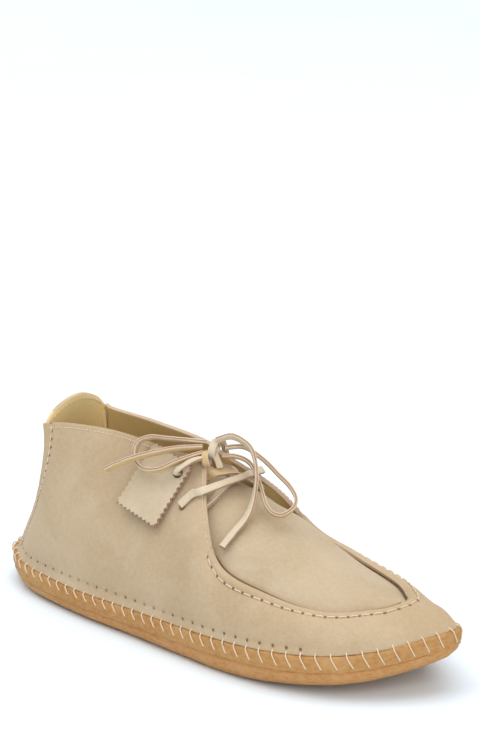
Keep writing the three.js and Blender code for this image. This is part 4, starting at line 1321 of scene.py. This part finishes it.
def mid_bottom(x):
    return footbed(x) - MIDSOLE


def ground(x):
    return np.minimum(np.maximum(0, along(GROUND, x)), mid_bottom(x) - GAP - 1.6)


class OBJECT_OT_moccasin_sole(bpy.types.Operator):
    """Cut the two crepe layers of the sole and round their edges"""
    bl_idname = "object.moccasin_sole"
    bl_label = "Crepe sole"

    def execute(self, context):
        def mid(f):
            return lambda x: mid_bottom(x) + MIDSOLE * f

        profile = [(-1.8, 0.0), (-0.4, 0.0), (-0.08, 0.03), (0.02, 0.12), (0.05, 0.4), (0.05, 0.62),
                   (-0.05, 0.8), (-0.35, 0.92), (-0.9, 0.99), (-1.8, 1.0), (-4.5, 1.0)]
        levels = [(LIP + out, mid(f)) for out, f in profile]
        layer = sole_layer("crepe_midsole_layer", "stitched_crepe", levels)
        crepe_lumps(layer, 0.14)
        finish_piece(layer, ["crepe_midsole"])

        def out_level(f, out):
            return (LIP - OUTSOLE_STEP + out,
                    lambda x: ground(x) + (mid_bottom(x) - GAP * 0.3 - ground(x)) * f)

        profile = [(0, -UNDERCUT - 3), (0.0, -UNDERCUT - 0.6), (0.03, -UNDERCUT + 0.4),
                   (0.14, -UNDERCUT * 0.68), (0.28, -UNDERCUT * 0.4), (0.46, -UNDERCUT * 0.16),
                   (0.62, -0.2), (0.76, 0.05), (0.9, 0.0), (0.98, -0.12), (1, -0.5)]
        layer = sole_layer("crepe_outsole_layer", "ground_crepe", [out_level(f, out) for f, out in profile])
        crepe_lumps(layer, 0.15, keep_under=1.0)
        finish_piece(layer, ["crepe_outsole"])
        for node, finish in (("insole_board", "fibre_board"), ("sock_liner", "golden_grain")):
            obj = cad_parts[node]
            obj.data.materials.clear()
            obj.data.materials.append(material(finish))
        return {"FINISHED"}


# ---------------------------------------------------------------- sewing
# along the shoe: how far down the crepe a stitch goes, and how far its foot leans to the toe
STITCH_DROP = ((-150, 3.2), (-60, 3.8), (20, 5.0), (90, 5.9), (145, 5.6))
STITCH_SLANT = ((-150, 2.2), (0, 2.4), (60, 2.6), (110, 3.4), (145, 2.4))


def sole_stitch(hole, way, lower, ring_at, radius):
    """From an awl hole under the nap, over the suede's lower edge and down the side of the crepe."""
    at, out = outline(np.array([float(ring_at)]))
    x = at[0, 0]
    to_toe = np.array((-out[0, 1], out[0, 0], 0.0)) * (1 if 0 <= ring_at <= RING_HALF else -1)
    flat, down = np.array((*out[0], 0.0)), np.array((0, 0, 1.0))
    drop, slant = along(STITCH_DROP, x), along(STITCH_SLANT, x)
    foot = np.array((*at[0], footbed(x)))
    r = radius / MM
    path = [hole - way * 1.2, hole - way * 0.55, (hole + lower) / 2 - way * 0.6, lower - way * 0.1]
    path += [foot + flat * (LIP + push) - down * drop * f + to_toe * slant * f + down * rise
             for push, f, rise in ((-0.5, 0.0, 0.7), (0.05 + r, 0.12, 0), (0.05 + r, 0.5, 0),
                                   (0.0 + r * 0.8, 0.85, 0), (-0.2 + r * 0.4, 1.0, 0), (-1.6, 1.06, 0))]
    return smooth_path(to_frame(path), 0.0008)[0]


def run_stitch(holes, ways, radius, rise=0.9):
    """One stitch on the surface between two holes, sunk at both ends."""
    r = radius / MM
    a, b = holes
    wa, wb = ways
    path = [a - wa * 1.1, a + wa * r * 0.3, (a * 3 + b) / 4 + unit(wa * 3 + wb) * r * rise,
            (a + b * 3) / 4 + unit(wa + wb * 3) * r * rise, b + wb * r * 0.3, b - wb * 1.1]
    return smooth_path(to_frame(path), 0.0007)[0]


def stitch_row(holes, ways, inset, radius, rise=0.9):
    """Running stitches from hole to hole, each a share of its length short of both."""
    paths = []
    for a, b, way_a, way_b in zip(holes[:-1], holes[1:], ways[:-1], ways[1:]):
        ends = (a + (b - a) * inset, b - (b - a) * inset)
        paths.append(run_stitch(ends, (way_a, way_b), radius, rise))
    return paths


class OBJECT_OT_moccasin_sole_sewing(bpy.types.Operator):
    """Whip the upper to the crepe with waxed thread"""
    bl_idname = "object.moccasin_sole_sewing"
    bl_label = "Sole stitching"

    def execute(self, context):
        sewing = context.scene.moccasin_sewing
        radius = sewing.thread / 2
        paths = []
        s, _ = evenly(lambda v: skin(v, np.zeros(len(v))), 0, LAST_S, sewing.sole_pitch)
        hole_t, low_t = t_above_feather(s, SOLE_ROW), t_above_feather(s, 1.6)
        holes, ways = skin(s, hole_t), outward(s, hole_t)
        lower = skin(s, low_t)
        for k, one in enumerate(s):
            paths.append(sole_stitch(holes[k], ways[k], lower[k], one + 2, radius))
        u, _ = heel_stitches(sewing.sole_pitch)
        share = SOLE_ROW / HEEL_HEIGHT
        for one in u:
            hole, low = heel_surface(one, share)[0], heel_surface(one, share / 3)[0]
            ring_at = float(np.interp(one, [1, 2, 3, 4, 5], [2, 1, 0, -1, -2]))
            out = outline(np.array([ring_at]))[1]
            paths.append(sole_stitch(hole, unit(np.array((*out[0], 0.1))), low, ring_at, radius))
        thread_piece("sole_whip_thread", paths, radius)
        return {"FINISHED"}


class OBJECT_OT_moccasin_seams(bpy.types.Operator):
    """Sew the apron seam, the two heel seams and the fine line along the collar"""
    bl_idname = "object.moccasin_seams"
    bl_label = "Seam stitching"

    def execute(self, context):
        sewing = context.scene.moccasin_sewing
        self.apron(sewing)
        self.heel(sewing)
        self.collar(sewing)
        self.tab(sewing)
        return {"FINISHED"}

    def apron(self, sewing):
        s, count = seam_stitches(sewing.apron_pitch)
        u = np.linspace(SEAM_START - 0.35, LAST_S - SEAM_START + 0.35, 900)
        marks = np.interp(np.arange(len(s) + 1), count(u), u)
        t = t_below_top(marks, APRON_ROW)
        holes, ways = skin(marks, t), outward(marks, t)
        holes[:, 2] += far_edge_rise(marks, APRON_ROW)
        radius = sewing.thread / 2
        thread_piece("apron_seam_thread", stitch_row(holes, ways, 0.2, radius, 1.0), radius)

    def heel(self, sewing):
        paths = []
        radius = sewing.thread * 0.42
        for edge, step in ((0.0, 1), (float(LAST_S), -1)):
            line = skin(np.full(61, edge), np.linspace(0.06, 0.985, 61))
            run = lengths(line)
            n = round(run[-1] / sewing.heel_pitch)
            at = np.interp(np.arange(n + 1) * run[-1] / n, run, np.linspace(0.06, 0.985, 61))
            inset = []
            for t in at:
                reach = skin(edge + step * np.linspace(0, 0.4, 21), np.full(21, t))
                inset.append(edge + step * np.interp(HEEL_ROW, lengths(reach), np.linspace(0, 0.4, 21)))
            inset = np.array(inset)
            holes, ways = skin(inset, at), outward(inset, at)
            paths += stitch_row(holes, ways, 0.14, radius)
        thread_piece("heel_seam_thread", paths, radius)

    def collar(self, sewing):
        """Fine running line a little below the cut edge, broken at the facing's corner."""
        paths = []
        radius = sewing.fine_thread / 2
        for first, last, down in ((0.3, CORNER - 0.06, 2.6), (CORNER + 0.12, SEAM_START - 0.5, 3.2),
                                  (LAST_S - CORNER + 0.06, LAST_S - 0.3, 2.6),
                                  (LAST_S - SEAM_START + 0.5, LAST_S - CORNER - 0.12, 3.2)):
            curve = lambda v, down=down: skin(v, t_below_top(v, down))
            s, count = evenly(curve, first, last, sewing.top_pitch, 160)
            u = np.linspace(first, last, 400)
            marks = np.interp(np.arange(len(s) + 1), count(u), u)
            t = t_below_top(marks, down)
            holes, ways = skin(marks, t), outward(marks, t)
            paths += stitch_row(holes, ways, 0.12, radius, 0.7)
        thread_piece("collar_thread", paths, radius, sides=6)

    def tab(self, sewing):
        """Fine thread round the tab on the grain side, and the cross stitches that hold the lap."""
        radius = sewing.fine_thread / 2
        inside = LEATHER + radius / MM * 0.5

        def inner(u, t):
            u = np.atleast_1d(np.asarray(u, float))
            step = 0.02
            ds = heel_surface(u + step, t) - heel_surface(u - step, t)
            dt = heel_surface(u, t) - heel_surface(u, t - step)
            return heel_surface(u, t) - unit(np.cross(dt, ds)) * inside, -unit(np.cross(dt, ds))

        u, _ = evenly(lambda v: inner(v, 0.97)[0], 1.5, 4.5, sewing.top_pitch * 1.15, 200)
        paths = stitch_row(*inner(u, 0.97), 0.15, radius)
        for u_low, u_high in ((0.45, 0.75), (5.25, 5.55)):
            heights = np.linspace(0.985, 0.74, 9)
            ends = [inner(u_low if k % 2 else u_high, h) for k, h in enumerate(heights)]
            for (a, wa), (b, wb) in zip(ends[:-1], ends[1:]):
                paths.append(run_stitch((a[0], b[0]), (wa[0], wb[0]), radius))
        thread_piece("heel_tab_thread", paths, radius, sides=6)


# ---------------------------------------------------------------- hang tag
def tag_outline():
    """Pinked outline of a leaf round its lace hole, millimetres."""
    width, height = TAG_SIZE
    left, right = TAG_HOLE_AT[0] - width, TAG_HOLE_AT[0]
    low_edge, high_edge = TAG_HOLE_AT[1] - height, TAG_HOLE_AT[1]
    corners = [(left, high_edge), (left, low_edge), (right, low_edge), (right, high_edge)]
    points = []
    for i, (x0, y0) in enumerate(corners):
        x1, y1 = corners[(i + 1) % 4]
        length = math.hypot(x1 - x0, y1 - y0)
        teeth = round(length / TAG_TOOTH)
        ux, uy = (x1 - x0) / length, (y1 - y0) / length
        for k in range(teeth):
            for f, inset in ((0, 0), (0.5, TAG_TOOTH * 0.4)):
                d = (k + f) * length / teeth
                points.append((x0 + ux * d - uy * inset, y0 + uy * d + ux * inset))
    return points


class OBJECT_OT_moccasin_tag(bpy.types.Operator):
    """Cut the two pinked leaves of the hang tag and hang them on the near riser"""
    bl_idname = "object.moccasin_tag"
    bl_label = "Hang tag"

    def execute(self, context):
        front = TAG_OFF + TAG_LEAF + GAP * 0.4
        for name, node, offset, bend in (("hang_tag_back_leaf", "hang_tag_back", TAG_OFF, -0.3),
                                         ("hang_tag_front_leaf", "hang_tag_front", front, -0.15)):
            self.leaf(name, node, offset, bend)
        return {"FINISHED"}

    def leaf(self, name, node, offset, bend):
        rim = tag_outline()
        turns = np.arange(24) * 2 * math.pi / 24
        hole = [(TAG_HOLE / 2 * math.cos(a), TAG_HOLE / 2 * math.sin(a)) for a in turns]
        bm = bmesh.new()
        for ring in (rim, hole):
            corners = [bm.verts.new((x, y, 0)) for x, y in ring]
            for k, corner in enumerate(corners):
                bm.edges.new((corner, corners[(k + 1) % len(corners)]))
        bmesh.ops.triangle_fill(bm, use_beauty=True, edges=bm.edges[:])
        for size in (14.0, 7.0, 3.5, 2.2):
            long_edges = [e for e in bm.edges if not e.is_boundary and e.calc_length() > size]
            bmesh.ops.subdivide_edges(bm, edges=long_edges, cuts=1, use_grid_fill=True)
            bmesh.ops.triangulate(bm, faces=bm.faces[:])
        mesh = bpy.data.meshes.new(name)
        bm.to_mesh(mesh)
        bm.free()
        for finish in ("tag_nap", "tag_nap", "tag_edge"):
            mesh.materials.append(material(finish))
        if mesh.polygons[0].normal.z < 0:
            mesh.flip_normals()
        obj = bpy.data.objects.new(name, mesh)
        bpy.context.scene.collection.objects.link(obj)
        count = len(mesh.vertices)
        co = np.empty(count * 3)
        mesh.vertices.foreach_get("co", co)
        co = co.reshape(-1, 3)
        away = np.hypot(co[:, 0], co[:, 1]) / math.hypot(*TAG_SIZE)
        ripple = 0.06 * np.sin(co[:, 0] * 0.4) * np.sin(co[:, 1] * 0.33) * away
        co[:, 2] += TAG_LEAF + bend * away ** 2 + ripple
        up = (Vector((0, 0, 1)) - TAG_NORMAL * TAG_NORMAL.z).normalized()
        side = up.cross(TAG_NORMAL)
        turn = Matrix.Rotation(TAG_TILT, 3, "Z")
        basis = Matrix((side, up, TAG_NORMAL)).transposed() @ turn
        s, down = EYELETS[0]
        pivot = skin(s, t_below_top(s, down))[0]
        co = co @ np.array(basis).T + pivot + np.array(TAG_NORMAL) * offset
        mesh.vertices.foreach_set("co", to_frame(co).ravel())
        mesh.update()
        solid_leather(obj, TAG_LEAF * MM, 0.00015)
        finish_piece(obj, [node], body=TAG_BODY, angle=50)


# ---------------------------------------------------------------- finishes and stage
class OBJECT_OT_moccasin_finishes(bpy.types.Operator):
    """Build the shader groups that the leathers, the crepe and the thread share"""
    bl_idname = "object.moccasin_finishes"
    bl_label = "Finishes"

    def execute(self, context):
        for make in (suede_group, holes_group, grain_group, crepe_group, twist_group):
            make()
        return {"FINISHED"}


SKY_STRENGTH = 0.42


class OBJECT_OT_moccasin_stage(bpy.types.Operator):
    """Lay the plain floor and set the soft lights"""
    bl_idname = "object.moccasin_stage"
    bl_label = "Stage"

    def execute(self, context):
        bpy.ops.mesh.primitive_plane_add(size=16, location=(0, 0, 0))
        floor = context.object
        floor.name = "floor"
        made, tree, shader = base_material("plain_floor")
        speck = noise(tree, object_coords(tree), 3.0)
        stage = context.scene.moccasin_stage
        paper = mix_color(tree, ramp_range(tree, speck, 0.3, 0.7), (*stage.floor_color, 1),
                          (0.85, 0.93, 1.0, 1))
        tree.links.new(paper, shader.inputs["Base Color"])
        shader.inputs["Roughness"].default_value = 0.9
        shader.inputs["Specular IOR Level"].default_value = 0.0
        floor.data.materials.append(made)
        world = bpy.data.worlds.new("soft sky")
        world.use_nodes = True
        sky = world.node_tree.nodes["Background"]
        sky.inputs["Color"].default_value = (1, 1, 1, 1)
        sky.inputs["Strength"].default_value = SKY_STRENGTH * stage.power
        context.scene.world = world
        for name, place, aim, size, power in (
                ("overhead", (-0.85, 0.8, 3.1), (-0.85, 0.8, 0), 4.6, 110),
                ("key", (-0.7, -1.1, 2.0), (0, 0, 0.03), 1.6, 13),
                ("front", (1.7, -1.1, 1.2), (0, 0, 0.05), 1.8, 27)):
            light = bpy.data.lights.new(name, "AREA")
            light.size = size
            light.energy = power * stage.power
            obj = bpy.data.objects.new(name, light)
            context.scene.collection.objects.link(obj)
            obj.location = place
            obj.rotation_euler = (Vector(aim) - Vector(place)).to_track_quat("-Z", "Y").to_euler()
        context.scene.view_settings.view_transform = "Standard"
        return {"FINISHED"}


# ---------------------------------------------------------------- add-on
STEPS = (OBJECT_OT_moccasin_camera, OBJECT_OT_moccasin_finishes, OBJECT_OT_moccasin_bow,
         OBJECT_OT_moccasin_lacing, OBJECT_OT_moccasin_wall, OBJECT_OT_moccasin_heel,
         OBJECT_OT_moccasin_apron, OBJECT_OT_moccasin_sole, OBJECT_OT_moccasin_sole_sewing,
         OBJECT_OT_moccasin_seams, OBJECT_OT_moccasin_tag, OBJECT_OT_moccasin_stage)


class VIEW3D_PT_moccasin(bpy.types.Panel):
    """Sizes and steps of the moccasin"""
    bl_idname = "VIEW3D_PT_moccasin"
    bl_label = "Moccasin"
    bl_space_type = "VIEW_3D"
    bl_region_type = "UI"
    bl_category = "Moccasin"

    def draw(self, context):
        for group_name in ("moccasin_sewing", "moccasin_leather", "moccasin_colours", "moccasin_stage"):
            settings = getattr(context.scene, group_name)
            for name in settings.__annotations__:
                self.layout.prop(settings, name)
        for step in STEPS:
            self.layout.operator(step.bl_idname)


CLASSES = (MoccasinSewing, MoccasinLeather, MoccasinColours, MoccasinStage, *STEPS, VIEW3D_PT_moccasin)


def register():
    for one in CLASSES:
        bpy.utils.register_class(one)
    bpy.types.Scene.moccasin_sewing = PointerProperty(type=MoccasinSewing)
    bpy.types.Scene.moccasin_leather = PointerProperty(type=MoccasinLeather)
    bpy.types.Scene.moccasin_colours = PointerProperty(type=MoccasinColours)
    bpy.types.Scene.moccasin_stage = PointerProperty(type=MoccasinStage)


def unregister():
    del bpy.types.Scene.moccasin_sewing
    del bpy.types.Scene.moccasin_leather
    del bpy.types.Scene.moccasin_colours
    del bpy.types.Scene.moccasin_stage
    for one in reversed(CLASSES):
        bpy.utils.unregister_class(one)


def main():
    register()
    for step in STEPS:
        category, name = step.bl_idname.split(".")
        getattr(getattr(bpy.ops, category), name)()


if __name__ == "__main__":
    main()
